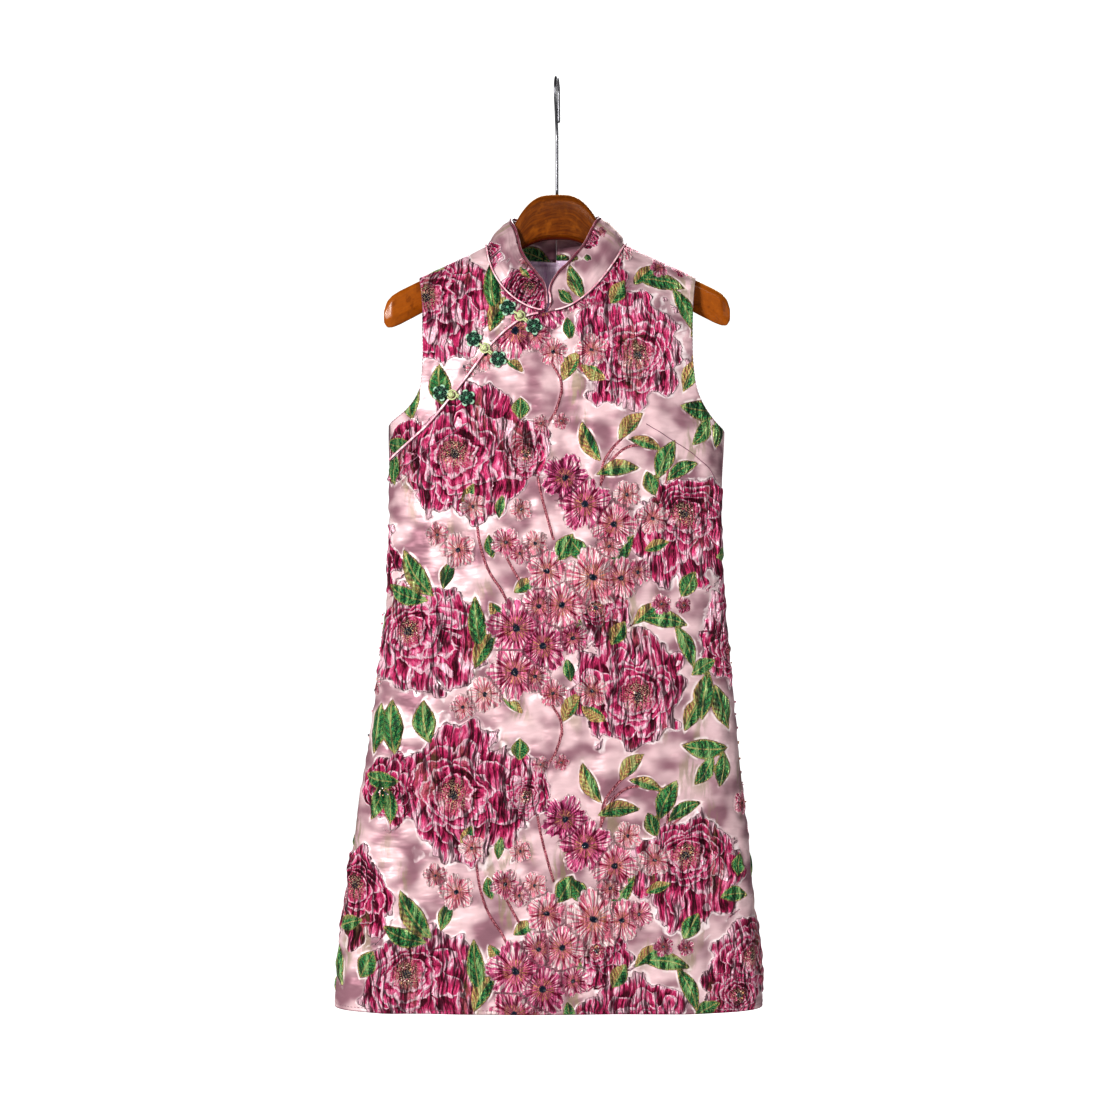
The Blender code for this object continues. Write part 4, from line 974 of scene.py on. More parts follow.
def skin_relief(angle, z, front, tables, calm):
    """Chart places, fields and relief of a grid of angles and heights."""
    centre = section(z)[0]
    across = (centre + cloth_run(angle, z, front)) / CHART
    down = -z / CHART
    fields = motif_fields(across, down, tables)
    return across, down, fields, relief(across, down, fields, calm)


NECK_EDGES, STITCH_LINES = {}, []


def add_panel(name, base, angle, z, front, tables, flats, replaced):
    """A finished panel: plain form, relief on its outer points, fields for the
    pattern. At each named edge the wall ends square to the seam's plane."""
    normal = normals(base)
    if (normal[2, 2, 1] > 0) == front:
        normal = -normal
    for index, axis in flats:
        edge = normal[index]
        edge[..., axis] = 0.0
        normal[index] = unit(edge)
    calm, from_edge = edge_calm(base)
    calm = np.maximum(calm, calm_at(base[..., 0], base[..., 2]) if front else 0.0)
    drop = shoulder_z(base[..., 0]) - base[..., 2]
    calm = np.maximum(calm, 0.75 * (1.0 - fade(drop, 4.0 * MM, 24.0 * MM)))
    across, down, fields, height = skin_relief(angle, z, front, tables, calm)
    outside = base + normal * height[..., None]
    made = add_wall(name, outside, base - WALL * normal, [brocade, lining_satin])
    for kind, (x, y, far, tone) in zip(("peony", "blossom", "leaf"), fields):
        add_field(made, kind, x, y, np.minimum(far, 9.0))
        add_field(made, kind + "_tone", tone)
    # the distance from the edge, kept here, places a painted shade line along the seams
    add_field(made, "vine", *fields[3], from_edge)
    add_field(made, "chart", across, down, height / MM)
    keep(made, replaced)
    half = slice(ACROSS if base.shape[0] > ACROSS + 1 else 0, None)
    neck = slice(NECK_END + 1)
    NECK_EDGES[replaced] = (base[half][neck, -1], -WALL * normal[half][neck, -1])
    STITCH_LINES.append(outside[half][SHOULDER_END + 1:-1, -2])
    if name != "dress_front_shoulder":
        STITCH_LINES.append(outside[1:-1, 2])
    return made


# %% Large front
def seam_shift(points, index, axis, shift):
    """Moves an edge off its seam by half of the gap."""
    points[index][..., axis] += shift


placket_top = smooth_path(PLACKET, np.interp(columns, np.arange(21), YOKE_PLACES))
left_angle, left_z = half_rows(placket_top, columns, False, True, CENTRE_FRONT_X)
right_angle, right_z = half_rows(upper_edge(columns, neckline, True), columns, True, True,
                                 CENTRE_FRONT_X)
angle = np.concatenate([left_angle[::-1], right_angle[1:]])
z = np.concatenate([left_z[::-1], right_z[1:]])
base = cloth(angle, z, True)
base[:ACROSS, -1, 2] -= PLACKET_GAP * 0.5
base[:ACROSS, -1, 0] += PLACKET_GAP * 0.35
on_shoulder = (slice(ACROSS + NECK_END, ACROSS + SHOULDER_END + 1), -1)
for index in ((0,), (-1,), on_shoulder):
    seam_shift(base, index, 1, -SEAM_GAP / 2)
front_main = add_panel("dress_front", base, angle, z, True, FRONT_TABLES,
                       (((0,), 1), ((-1,), 1), (on_shoulder, 1)), "front_main")
print("large front, triangles:", sum(len(p.vertices) - 2 for p in front_main.data.polygons))

# %% Small front above the opening
SHOULDER_ROWS = 96
low = placket_top.copy()
top = upper_edge(columns, neckline, False)
low[:, 1] += PLACKET_GAP * 0.5
low[:, 0] -= PLACKET_GAP * 0.35
blunt = (1.0 - fade(columns, 0.0, 1.0))[:, None]
top = top + blunt * (low[0] + np.array([-2.0, 2.4]) * MM - top[0])
low[:, 0] -= 2.0 * MM * blunt[:, 0]
share = 1.0 - (1.0 - np.linspace(0.0, 1.0, SHOULDER_ROWS + 1)) ** 1.5
x, z = (low[:, k:k + 1] + (top[:, k:k + 1] - low[:, k:k + 1]) * share for k in (0, 1))
angle = angle_at(x, z)
angle[-1] = np.pi
base = cloth(angle, z, True)
on_shoulder = (slice(NECK_END, SHOULDER_END + 1), -1)
for index in ((-1,), on_shoulder):
    seam_shift(base, index, 1, -SEAM_GAP / 2)
add_panel("dress_front_shoulder", base, angle, z, True, SHOULDER_TABLES,
          (((-1,), 1), (on_shoulder, 1)), "front_shoulder")

# %% Back halves
for side_name, right in (("left", False), ("right", True)):
    ease = BACK_ARMHOLE_EASE if right else 0.0
    top = upper_edge(columns, back_neckline, right, ease)
    angle, z = half_rows(top, columns, right, False, CENTRE_BACK_X)
    base = cloth(angle, z, False)
    for index in ((-1,), on_shoulder):
        seam_shift(base, index, 1, SEAM_GAP / 2)
    seam_shift(base, (0,), 0, (1.0 if right else -1.0) * SEAM_GAP / 2)
    made = add_panel("dress_back_" + side_name, base, angle, z, False, BACK_TABLES,
                     (((-1,), 1), (on_shoulder, 1), ((0,), 0)), "back_" + side_name)
    print(made.name, len(made.data.vertices), "points")


# %% [markdown]
# ## Lining under the back neck
# Inside the neck the lilac lining of the back shows, hanging in a few rounded folds. It is one thin
# wall inside the back, whose folds are bell curves that open out from the neck seam downwards.

# %% Back neck lining
LINING_FOLDS = (
    # x, breadth, depth
    (-30.0, 10.0, 4.0), (-9.0, 7.0, 8.0), (7.0, 5.5, 5.0), (30.0, 12.0, 3.0),
)
LINING_REACH, LINING_LOW, LINING_WALL, LINING_GAP = 50.0 * MM, -330.0 * MM, 1.0 * MM, 1.9 * MM
x = np.linspace(-LINING_REACH, LINING_REACH, 129)[:, None]
share = np.linspace(0.0, 1.0, 65)[None, :]
side = np.where(x > 0.0, SIDE_NECK_RIGHT, SIDE_NECK_LEFT)
edge = shoulder_z(side) - BACK_NECK_DROP * (1.0 - np.abs(x / side) ** 2.5) - 4.0 * MM
z = edge + (LINING_LOW - edge) * share
x = x + 0.0 * z
base = cloth(angle_at(x, z), z, False)
normal = normals(base)
normal *= np.sign(normal[64, 30, 1])
fold = sum(depth * MM * np.exp(-(((x - place * MM) / (breadth * MM)) ** 2))
           for place, breadth, depth in LINING_FOLDS)
fold = fold * fade(share, 0.0, 0.25) * fade(LINING_REACH - np.abs(x), 0.0, 14.0 * MM)
small = 0.3 * MM * (soft_noise(x / (6.0 * MM) + 40.0, z / (40.0 * MM)) - 0.5) * fade(share, 0.0, 0.2)
outer = base - normal * (WALL + LINING_GAP + fold + small)[..., None]
keep(add_wall("neck_lining", outer, outer - LINING_WALL * normal, [lining_satin]), "back_lining")
print("lining folds:", len(LINING_FOLDS))

# %% [markdown]
# ## The stand collar
# The collar is two stiffened pieces that stand up from the neckline and part at the front in a V.
# Each is a ruled surface from the panels' own neck edges to a measured upper edge, with a slight
# belly, so it meets the neck seam exactly.

# %% Collar sizes
COLLAR_LEFT = np.array((
    # share of the way round, x, y, z
    (0, -13.6, -58, -271), (0.067, -16, -50.5, -250), (0.142, -24, -43, -235.8),
    (0.208, -34.6, -36, -221.2), (0.294, -42.4, -28, -207.5), (0.452, -47.5, -16.5, -187.7),
    (0.515, -51, -12, -177), (0.55, -54.2, -5, -171), (0.58, -55.8, 2, -167),
    (0.748, -44, 21, -163.5), (1, -1.3, 30, -165),
))
COLLAR_RIGHT = np.array((
    (0, -5, -58, -271), (0.084, -4.8, -49, -248.3), (0.131, 2.6, -42.5, -234.6),
    (0.203, 14, -36, -222), (0.288, 25, -29, -208.5), (0.377, 34, -22, -196),
    (0.474, 42.4, -15, -178.5), (0.53, 47.5, -11.5, -169.5), (0.558, 50.8, -5, -165),
    (0.588, 52.2, 2, -162.5), (0.738, 42, 21, -162), (1, -0.7, 30, -165),
))
COLLAR_SEAM, BINDING_RADIUS, NECK_PIPING_RADIUS = 0.9 * MM, 1.5 * MM, 1.2 * MM
COLLAR_TABLES = {
    # chart motifs of each half: peonies, blossoms, leaves, vines
    False: (np.array(((-74, 187, 19, 0, 0, 0.4), (-34, 228, 30, 8, -6, 0.9),
                      (-26, 166, 17, 0, 0, 0.6))),
            np.array(((-30, 193, 9, 0.3),)),
            np.array(((-32, 205, 9, 3.5, 130, 0.1, 0.6), (24, 178, 20, 9, 20, 0.1, 0.1))),
            [np.array(((-90, 150), (-80, 150)))]),
    True: (np.array(((78, 186, 15, 0, 0, 0.5), (30, 165, 14, 0, 0, 0.8))),
           np.array(((45, 160, 6, 0.4),)),
           np.array(((20, 215, 20, 7.5, 112, 0.15, 0.35), (9, 230, 11, 5, 135, 0.1, 0.1),
                     (31, 189, 6, 3, 125, 0, 0.1), (4, 183, 20, 9, 160, 0.1, 0.1))),
           [np.array(((90, 150), (80, 150)))]),
}


# %% Collar halves
def collar_form(right):
    """Outer and inner face of half a collar: each column runs straight from the
    neck seam to the upper edge, bowed out by a sine of a twentieth of its height."""
    front = NECK_EDGES["front_main" if right else "front_shoulder"]
    back = NECK_EDGES["back_right" if right else "back_left"]
    side = [(front[k][-1:] + back[k][-1:]) / 2 for k in (0, 1)]
    base, inward = (np.concatenate([front[k][:-1], side[k], back[k][-2::-1]]) for k in (0, 1))
    run = run_of(base)
    table = COLLAR_RIGHT if right else COLLAR_LEFT
    top = np.stack([smooth(run / run[-1], table[:, 0], table[:, k] * MM) for k in (1, 2, 3)], 1)
    top[-1, 0] = base[-1, 0]
    length = np.linalg.norm(top - base, axis=1, keepdims=True)
    base = base + (top - base) / length * COLLAR_SEAM
    up = np.linspace(0.0, 1.0, 21)[None, :, None]
    flat = base[:, None, :] + (top - base)[:, None, :] * up
    normal = normals(flat)
    middle = flat.mean(0, keepdims=True)
    normal *= np.sign(np.sum(normal[:, 10] * (flat[:, 10] - middle[:, 10])))
    normal[:3] = normal[3]
    normal[-1, :, 0] = 0.0
    normal[-1] = unit(normal[-1])
    outer = flat + normal * 0.05 * length[:, None, :] * np.sin(np.pi * up)
    inner = outer - WALL * normal
    blend = np.linspace(1.0, 0.0, 6)[None, :, None]
    inner[:, :6] = outer[:, :6] + inward[:, None] * blend - WALL * normal[:, :6] * (1.0 - blend)
    return outer, inner, normal


def add_collar(name, right):
    """Half of the collar with its pattern and a little puff, and its satin binding."""
    outer, inner, normal = collar_form(right)
    across, down = outer[..., 0] / CHART, -outer[..., 2] / CHART
    fields = motif_fields(across, down, COLLAR_TABLES[right])
    calm, from_edge = edge_calm(outer)
    tall = np.linalg.norm(outer - outer[:, :1], axis=-1) / CHART
    along = run_of(outer[:, outer.shape[1] // 2])[:, None] / CHART + 0.0 * tall
    height = relief(along, tall, fields, calm) * 0.75
    made = add_wall("collar_" + name + "_cloth", outer + normal * height[..., None], inner, [brocade])
    behind = inner[::4, ::4]
    turned = motif_fields(-behind[..., 0] / CHART, -behind[..., 2] / CHART, COLLAR_TABLES[right])
    both = lambda fore, aft: np.concatenate([np.ravel(fore), np.ravel(aft)])
    for kind, found, back in zip(("peony", "blossom", "leaf"), fields, turned):
        add_field(made, kind, *[both(found[k], back[k]) for k in range(3)])
        add_field(made, kind + "_tone", both(found[3], back[3]))
    runs = both(along, along[::4, ::4] + 60.0)
    add_field(made, "chart", runs, both(tall, tall[::4, ::4]), 0.0 * runs)
    add_field(made, "vine", 0.0 * across + 9.0, 0.0 * across + 9.0, from_edge)
    keep(made, "collar_" + name)

    edge = (outer[:, -1] + inner[:, -1]) / 2
    away = np.cross(np.gradient(edge, axis=0), outer[:, -1] - inner[:, -1])
    away = unit(away * np.sign(np.sum(away * (outer[:, -1] - outer[:, 0]))))
    away[:3] = away[3]
    path = edge + away * (BINDING_RADIUS + SEAT)
    path[0] += away[0] * (0.9 if right else 0.0) * MM
    path[-1, 0] += (0.5 if right else -0.5) * MM
    front_edge = (outer[0, 5:18:4] + inner[0, 5:18:4]) / 2
    front_edge[:, 0] += (-1.0 if right else 1.0) * 0.9 * MM
    known = np.concatenate([front_edge, path])
    facing = np.concatenate([0.0 * front_edge, away])
    facing[:len(front_edge), 0] = -1.0 if right else 1.0
    path = smooth_path(known, 280)
    close = np.argmin(np.linalg.norm(path[:, None] - known[None], axis=-1), axis=1)
    width = BINDING_RADIUS * (0.45 + 0.55 * fade(np.linspace(0.0, 1.0, 280), 0.0, 0.06))
    binding = add_cords("collar_edge_" + name, [(path, width, 14)], piping_satin, facing[close])
    keep(binding, "collar_binding_" + name)
    return outer, inner


collar_faces = {right: add_collar("right" if right else "left", right) for right in (False, True)}
print("collar points round:", collar_faces[True][0].shape[0] + collar_faces[False][0].shape[0])

# %% [markdown]
# ## Piping
# Thin satin cord marks the seam below the collar and the curved opening. It lies on the cloth, so
# its path is the seam's own line moved out by its radius.


# %% Neck piping and opening piping
def cloth_at(x, z, front=True):
    """Point and outward normal of the plain cloth at a place given by x and z."""
    x, z = np.asarray(x, float), np.asarray(z, float)
    place = lambda at_x, at_z: cloth(angle_at(at_x, at_z), at_z, front)
    normal = np.cross(place(x + MM, z) - place(x - MM, z), place(x, z + MM) - place(x, z - MM))
    return place(x, z), unit(normal) * (1.0 if front else -1.0)


runs = []
for right in (False, True):
    outer, inner = collar_faces[right]
    collar, panels = (unit(outer[:, k] - inner[:, k]) for k in (8, 0))
    out = collar + panels
    out /= np.sum(out * collar, axis=1, keepdims=True)
    runs.append((outer[:, 0] + out * (NECK_PIPING_RADIUS + SEAT + 0.2 * MM), collar))
rough_line, facing = (np.concatenate([runs[0][k], runs[1][k][::-1][1:]])[3:-3] for k in (0, 1))
neck_line = smooth_path(rough_line[::3], 500)
close = np.argmin(np.linalg.norm(neck_line[:, None] - rough_line[None], axis=-1), axis=1)
neck_piping = add_cords("neck_seam_piping", [(neck_line, NECK_PIPING_RADIUS, 12)], piping_satin,
                        facing[close])
keep(neck_piping, "neck_piping")
PLACKET_PIPING_RADIUS = 1.5 * MM
line = smooth_path(PLACKET, np.linspace(0.04, 0.985, 260))
point, normal = cloth_at(line[:, 0], line[:, 1])
path = point + normal * (PLACKET_PIPING_RADIUS + SEAT)
opening_piping = add_cords("opening_piping", [(path, PLACKET_PIPING_RADIUS, 12)], piping_satin, normal)
keep(opening_piping, "placket_piping")
print("opening piping starts at", np.round(point[0] / MM, 1))

# %% [markdown]
# ## Frogs
# A frog is a pair of small rosettes wound from satin cord, joined by a ball knot that passes
# through a cord loop. Each petal is a ring of cord with a smaller turn inside it, and the ball is a
# core with cords wound round it three ways.

# %% Frog sizes
FLOWER_RADIUS, PETAL_REACH, KNOT_RADIUS, LOOP_RADIUS = 10.0 * MM, 6.15 * MM, 3.9 * MM, 1.05 * MM


def on_cloth(x, z, facing, heights):
    """Points over the front at x and z, lifted along facing."""
    point, _ = cloth_at(x, z)
    return point + facing * np.broadcast_to(heights, np.shape(x))[..., None]


def add_flower(name, x, z, turn_by):
    """Five petals, each a ring of cord round a smaller turn, about a wound middle."""
    _, facing = cloth_at(x, z)
    turn, cords = np.linspace(0.0, 2.0 * np.pi, 25), []
    for k in range(5):
        toward = turn_by + 2.0 * np.pi * k / 5.0
        at_x, at_z = x + PETAL_REACH * np.cos(toward), z + PETAL_REACH * np.sin(toward)
        for ring, radius, lift in ((2.45, 1.32, 2.0), (0.95, 1.0, 2.5)):
            long_way, wide_way = ring * MM * 1.06, ring * MM
            out_x, out_z = long_way * np.cos(turn), wide_way * np.sin(turn)
            path_x = at_x + out_x * np.cos(toward) - out_z * np.sin(toward)
            path_z = at_z + out_x * np.sin(toward) + out_z * np.cos(toward)
            rise = lift - 0.45 * np.cos(turn)
            cords.append((on_cloth(path_x, path_z, facing, rise * MM), radius * MM, 10))
    for ring, radius, lift in ((7.0, 1.3, 1.35), (4.4, 1.4, 2.0), (2.2, 1.15, 3.15),
                               (0.75, 0.95, 3.75)):
        path_x, path_z = x + ring * MM * np.cos(turn), z + ring * MM * np.sin(turn)
        cords.append((on_cloth(path_x, path_z, facing, lift * MM), radius * MM, 10))
    keep(add_cords(name + "_cord", cords, green_cord), name)


def add_knot_and_loop(name, start, step, middle, length):
    """A ball of cords wound three ways on a core, with its stem, and the loop
    that holds it, whose two ends run back to the second flower."""
    cross = np.array([-step[1], step[0]])
    over = 2.0 * PLACKET_PIPING_RADIUS + 2.0 * SEAT + 0.9 * KNOT_RADIUS
    base, facing = cloth_at(*(start + step * middle))
    centre = base + facing * over
    along = np.array([step[0], 0.0, step[1]])
    along = unit(along - facing * (along @ facing))
    wide = np.cross(facing, along)
    turn = np.linspace(0.0, 2.0 * np.pi, 25)[:, None]
    cords = []
    for tilt, way in ((0.5, wide), (-0.5, wide), (0.55, along), (-0.55, along)):
        other = facing * np.cos(tilt) + (along if way is wide else wide) * np.sin(tilt)
        ring = centre + 2.75 * MM * (np.cos(turn) * way + np.sin(turn) * other)
        cords.append((ring, 1.15 * MM, 10))
    grow = np.sin(np.linspace(0.15, np.pi - 0.15, 9))
    core = centre + np.linspace(-3.0, 3.0, 9)[:, None] * MM * along
    cords.append((core, 3.1 * MM * grow, 14))
    first = FLOWER_RADIUS - 0.6 * MM
    run = np.linspace(first, middle - 2.6 * MM, 7)
    stem = start + step * run[:, None]
    rise = (0.62 + 0.38 * np.linspace(0.0, 1.0, 7)) * over
    cords.append((on_cloth(stem[:, 0], stem[:, 1], facing, rise), 1.35 * MM, 10))
    keep(add_cords(name + "_knot_cord", cords, pale_cord), name + "_knot")

    bow = np.linspace(np.radians(212.0), np.radians(508.0), 41)[:, None]
    ring = KNOT_RADIUS + LOOP_RADIUS + 0.3 * MM
    place = start + step * middle + ring * (np.cos(bow) * step + np.sin(bow) * cross)
    high = 2.0 * PLACKET_PIPING_RADIUS + 2.0 * SEAT + LOOP_RADIUS
    loop_cords = [(on_cloth(place[:, 0], place[:, 1], facing, high), LOOP_RADIUS, 10)]
    reach = np.linspace(middle + ring + 0.2 * MM, length - FLOWER_RADIUS + 1.2 * MM, 6)
    for away in (-1.0, 1.0):
        tail = start + step * reach[:, None] + cross * away * 1.15 * MM
        loop_cords.append((on_cloth(tail[:, 0], tail[:, 1], facing, high - 0.5 * MM), LOOP_RADIUS, 8))
    keep(add_cords(name + "_loop_cord", loop_cords, pale_cord), name + "_loop")


# %% Three frogs
for count, (name, ax, az, bx, bz) in enumerate(FROGS):
    start, end = np.array([ax, az]) * MM, np.array([bx, bz]) * MM
    length = np.linalg.norm(end - start)
    step = (end - start) / length
    middle = min(0.47 * length, length - FLOWER_RADIUS - 6.9 * MM)
    add_flower(name + "_flower_a", *start, 0.5 + count)
    add_flower(name + "_flower_b", *end, 1.1 + count)
    add_knot_and_loop(name, start, step, middle, length)
print("frogs:", len(FROGS))

# %% [markdown]
# ## Darts, stitches and beads
# Two curved bust darts shape the front; each is a fine seam line sunk in the cloth. Short stitches
# hold the hem and the armholes. Beads are sewn at the flowers' hearts and along the sides, where
# some stand out from the outline. All are small, so each kind is one joined mesh.


# %% Places on the finished cloth
def on_skin(x, z, front):
    """Points and outward normals of the cloth with its relief, at x and z."""
    point, normal = cloth_at(x, z, front)
    tables = FRONT_TABLES if front else BACK_TABLES
    height = skin_relief(angle_at(x, z), z, front, tables, calm_at(x, z) if front else 0.0)[3]
    return point + normal * height[..., None], normal


# %% Bust darts
DART = np.array((
    # x, z
    (101.5, -407.5), (126.5, -422.7), (149, -436), (171, -454), (184.5, -470.5),
)) * MM
darts = []
for mirror in (1.0, -1.0):
    line = smooth_path(DART * (mirror, 1.0), 90)
    point, normal = on_skin(line[:, 0], line[:, 1], True)
    darts.append((point + normal * 0.12 * MM, 0.45 * MM, 8))
seam_thread = plain("mauve seam thread", (0.2, 0.08, 0.12), 0.5)
keep(add_cords("bust_dart_seams", darts, seam_thread))

# %% Hem and armhole stitches
STITCH, STITCH_STEP, THREAD_RADIUS = 2.6 * MM, 4.4 * MM, 0.32 * MM
stitches = []
for line in STITCH_LINES:
    run = run_of(line)
    for start in np.arange(0.5 * STITCH_STEP, run[-1] - STITCH_STEP, STITCH_STEP):
        at = start + np.linspace(0.0, STITCH, 4)
        path = np.stack([np.interp(at, run, line[:, k]) for k in range(3)], 1)
        stitches.append((path, THREAD_RADIUS, 5))
keep(add_cords("hem_and_armhole_stitches", stitches, seam_thread))
print("stitches:", len(stitches))


# %% Beads
def ball(sides=7, rings=4):
    """Points and faces of a small ball: rings of latitude between two poles."""
    up = np.linspace(0.0, np.pi, rings + 2)[1:-1, None]
    turn = np.linspace(0.0, 2.0 * np.pi, sides, endpoint=False)[None, :]
    body = np.stack([np.sin(up) * np.cos(turn), np.sin(up) * np.sin(turn), np.cos(up) + 0.0 * turn], -1)
    points = np.concatenate([body.reshape(-1, 3), [(0, 0, 1), (0, 0, -1)]])
    faces, top, low = [], rings * sides, rings * sides + 1
    for s in range(sides):
        t = (s + 1) % sides
        faces += [(top, s, t), (low, (rings - 1) * sides + t, (rings - 1) * sides + s)]
        faces += [(k * sides + s, (k + 1) * sides + s, (k + 1) * sides + t, k * sides + t)
                  for k in range(rings - 1)]
    return points, np.array([face if len(face) == 4 else (*face, -1) for face in faces])


def add_beads(name, points, normals_at, radius, tones):
    """Balls set on the cloth at points; each keeps its tone from 0 to 1."""
    body, cells = ball()
    middle = points + normals_at * (0.55 * radius)[:, None]
    where = middle[:, None] + body[None] * radius[:, None, None]
    start = (np.arange(len(points)) * len(body))[:, None, None]
    faces = np.where(cells[None] < 0, -1, cells[None] + start).reshape(-1, 4).tolist()
    faces = [[i for i in face if i >= 0] for face in faces]
    made = add_mesh(name, where.reshape(-1, 3), faces, [glass_bead])
    add_field(made, "bead_tone", np.repeat(tones, len(body)))
    keep(made)


glass_bead = plain("glass bead", (0.5, 0.2, 0.3), 0.2)
chance = np.random.default_rng(11)
for front in (True, False):
    shift = (0.0, 0.0) if front else (30.0, -130.0)
    peonies, blossoms = repeats(PEONIES, shift), repeats(BLOSSOMS, shift)
    hearts = np.concatenate([
        np.repeat(np.stack([peonies[:, 0] + peonies[:, 3], peonies[:, 1] + peonies[:, 4],
                            peonies[:, 2] * 0.16], 1), 14, axis=0),
        np.repeat(np.stack([blossoms[:, 0], blossoms[:, 1], blossoms[:, 2] * 0.10], 1), 3, axis=0)])
    kind = np.concatenate([np.zeros(14 * len(peonies)), np.ones(3 * len(blossoms))])
    turn, reach = chance.random(len(hearts)) * 2.0 * np.pi, chance.random(len(hearts)) ** 0.7
    x = (hearts[:, 0] + hearts[:, 2] * reach * np.cos(turn)) * CHART
    z = -(hearts[:, 1] + hearts[:, 2] * reach * np.sin(turn)) * CHART
    inside = np.clip(z, HEM_Z, -200.0 * MM)
    centre, half_width = section(inside)[:2]
    shown = (z > HEM_Z + 10 * MM) & (z < -300 * MM) & (np.abs(x - centre) < 0.93 * half_width)
    shown &= (z < -430 * MM) | (np.abs(x) < 140 * MM)
    if front:
        shown &= calm_at(x, z) < 0.2
    x, z, kind, reach = x[shown], z[shown], kind[shown], reach[shown]
    point, normal = on_skin(x, z, front)
    tones = np.where(kind > 0.5, 0.95, np.where(reach < 0.45, 0.9, chance.random(len(x)) * 0.6))
    size = (0.75 + 0.35 * chance.random(len(x))) * MM
    add_beads("heart_beads_" + ("front" if front else "back"), point, normal, size, tones)
    print("beads:", len(x))

# %% Side beads
SIDE_BEADS = (
    # side, z
    (-1, -628), (-1, -640), (-1, -655), (-1, -668), (-1, -676), (-1, -690), (-1, -703), (-1, -716),
    (-1, -742), (-1, -770), (1, -655), (1, -668), (1, -684), (1, -706), (1, -730), (1, -744),
    (1, -762), (1, -778), (1, -796), (1, -812), (1, -826), (1, -848),
)
side, z = np.repeat(np.array(SIDE_BEADS, float), 2, axis=0).T
z = (z + 3.0 * chance.random(len(z))) * MM
angle = np.where(side > 0, 0.05, np.pi - 0.05) + 0.10 * (chance.random(len(z)) - 0.3) * side
x = cloth(angle, z, True)[:, 0]
point, normal = on_skin(x, z, True)
size = (0.8 + 0.5 * chance.random(len(z))) * MM
add_beads("side_beads", point, normal, size, chance.random(len(z)))

# %% [markdown]
# ## The wooden hanger
# The hanger is sawn from solid wood: a rounded hump in the middle, arms that slope and curve
# forward, a crowned top and a bevelled lower edge. A section whose height follows the outline is
# carried from one end to the other, and the corners of the section are rounded by extra places.

# %% Hanger
HANGER_OUTLINE = np.array((
    # x, top, bottom
    (0, -135.4, -188), (11, -135.8, -188.4), (21, -138.2, -190.4), (30, -143.6, -193.6),
    (37, -150.6, -197.2), (44, -160.2, -201.4), (50, -171.4, -205.2), (55, -181.8, -208.4),
    (61, -189.8, -212.2), (70, -194.6, -217.8), (81, -198.7, -224.8), (100, -207.8, -237),
    (130, -222.1, -256), (157, -235, -273), (174, -243.4, -282.2),
    (186, -249.8, -288.2), (194, -256, -290.6), (198.6, -262.6, -289.6),
    (201.3, -271.5, -285),
)) * MM
HANGER_HALF_THICKNESS, TOP_CROWN, LOWER_BEVEL = 6.5 * MM, 7.0 * MM, 10.5 * MM


def hanger_section():
    """Places round the section: y as a share of the half thickness, z below the
    top and above the bottom. The crown is a quarter of an ellipse on each side."""
    turn = np.linspace(0.0, np.pi / 2.0, 9)[1:]
    crown = [(-np.sin(t) ** 0.9, 1.3 * (1.0 - np.cos(t)), None) for t in turn]
    lower = [(-1.0, None, 1.06), (-0.985, None, 0.96), (-0.93, None, 0.88), (-0.66, None, 0.46),
             (-0.40, None, 0.07), (-0.33, None, 0.015), (-0.22, None, 0.0)]
    half = [*crown, *lower]
    return [(0.0, 0.0, None), *half, *[(-y, a, b) for y, a, b in half[::-1]]]


half = np.concatenate([np.linspace(0.0, 66.0, 45), np.linspace(68.0, 186.0, 50),
                       np.linspace(188.0, 201.3, 14)]) * MM
top, bottom = (smooth(half, HANGER_OUTLINE[:, 0], HANGER_OUTLINE[:, k]) for k in (1, 2))
thick = HANGER_HALF_THICKNESS * (1.0 - fade(half, 190.0 * MM, 202.0 * MM) * 0.45)
crown = np.minimum(TOP_CROWN, 0.3 * (top - bottom))
bevel = np.minimum(LOWER_BEVEL, 0.3 * (top - bottom)) * (0.45 + 0.55 * fade(half, 0.02, 0.09))
rings = np.stack([np.stack([half, y * thick, top - a * crown if b is None else bottom + b * bevel], 1)
                  for y, a, b in hanger_section()], 1)
rings = np.concatenate([rings[1:][::-1] * np.array([-1.0, 1.0, 1.0]), rings])
rings[..., 1] -= arm_forward(rings[..., 0])
rings[..., 2] += HANGER_TILT * rings[..., 0]
hanger = add_mesh("hanger_wood_body", *tube(rings, rings[:1].mean(1), rings[-1:].mean(1)), [hanger_varnish])
run = np.sign(rings[..., 0]) * np.hypot(rings[..., 0], 0.45 * rings[..., 0])
below = rings[..., 2] - np.concatenate([top[1:][::-1], top])[:, None]
ends = (run[[0, -1], 0], (0.0, 0.0), (-0.02, -0.02))
add_field(hanger, "grain_place", *[np.append(grid, end)
                                   for grid, end in zip((run, rings[..., 1], below), ends)])
keep(hanger, "hanger_wood")

# %% Hook
HOOK_WIRE, HOOK_BEND, HOOK_TURN = 1.75 * MM, 16.0 * MM, np.radians(7.0)
centre_z = HOOK_WIRE - HOOK_BEND
bend_z = np.linspace(-72.0 * MM, centre_z, 25)
turn = np.linspace(np.pi, 0.0, 41)[1:]
flat = np.concatenate([
    np.stack([np.zeros(12), np.linspace(-135.0 * MM, -75.0 * MM, 12)], 1),
    np.stack([-HOOK_BEND * fade(bend_z, -72.0 * MM, centre_z), bend_z], 1),
    np.stack([HOOK_BEND * np.cos(turn), centre_z + HOOK_BEND * np.sin(turn)], 1),
    np.array(((0, -30), (0.5, -44), (0.6, -46.2), (0.65, -46.9), (0.7, -47.2))) * MM + (HOOK_BEND, 0)])
path = np.stack([flat[:, 0] * np.sin(HOOK_TURN), flat[:, 0] * np.cos(HOOK_TURN), flat[:, 1]], 1)
size = np.full(len(path), HOOK_WIRE)
size[-4:] = HOOK_WIRE * np.array([1.0, 0.94, 0.72, 0.4])
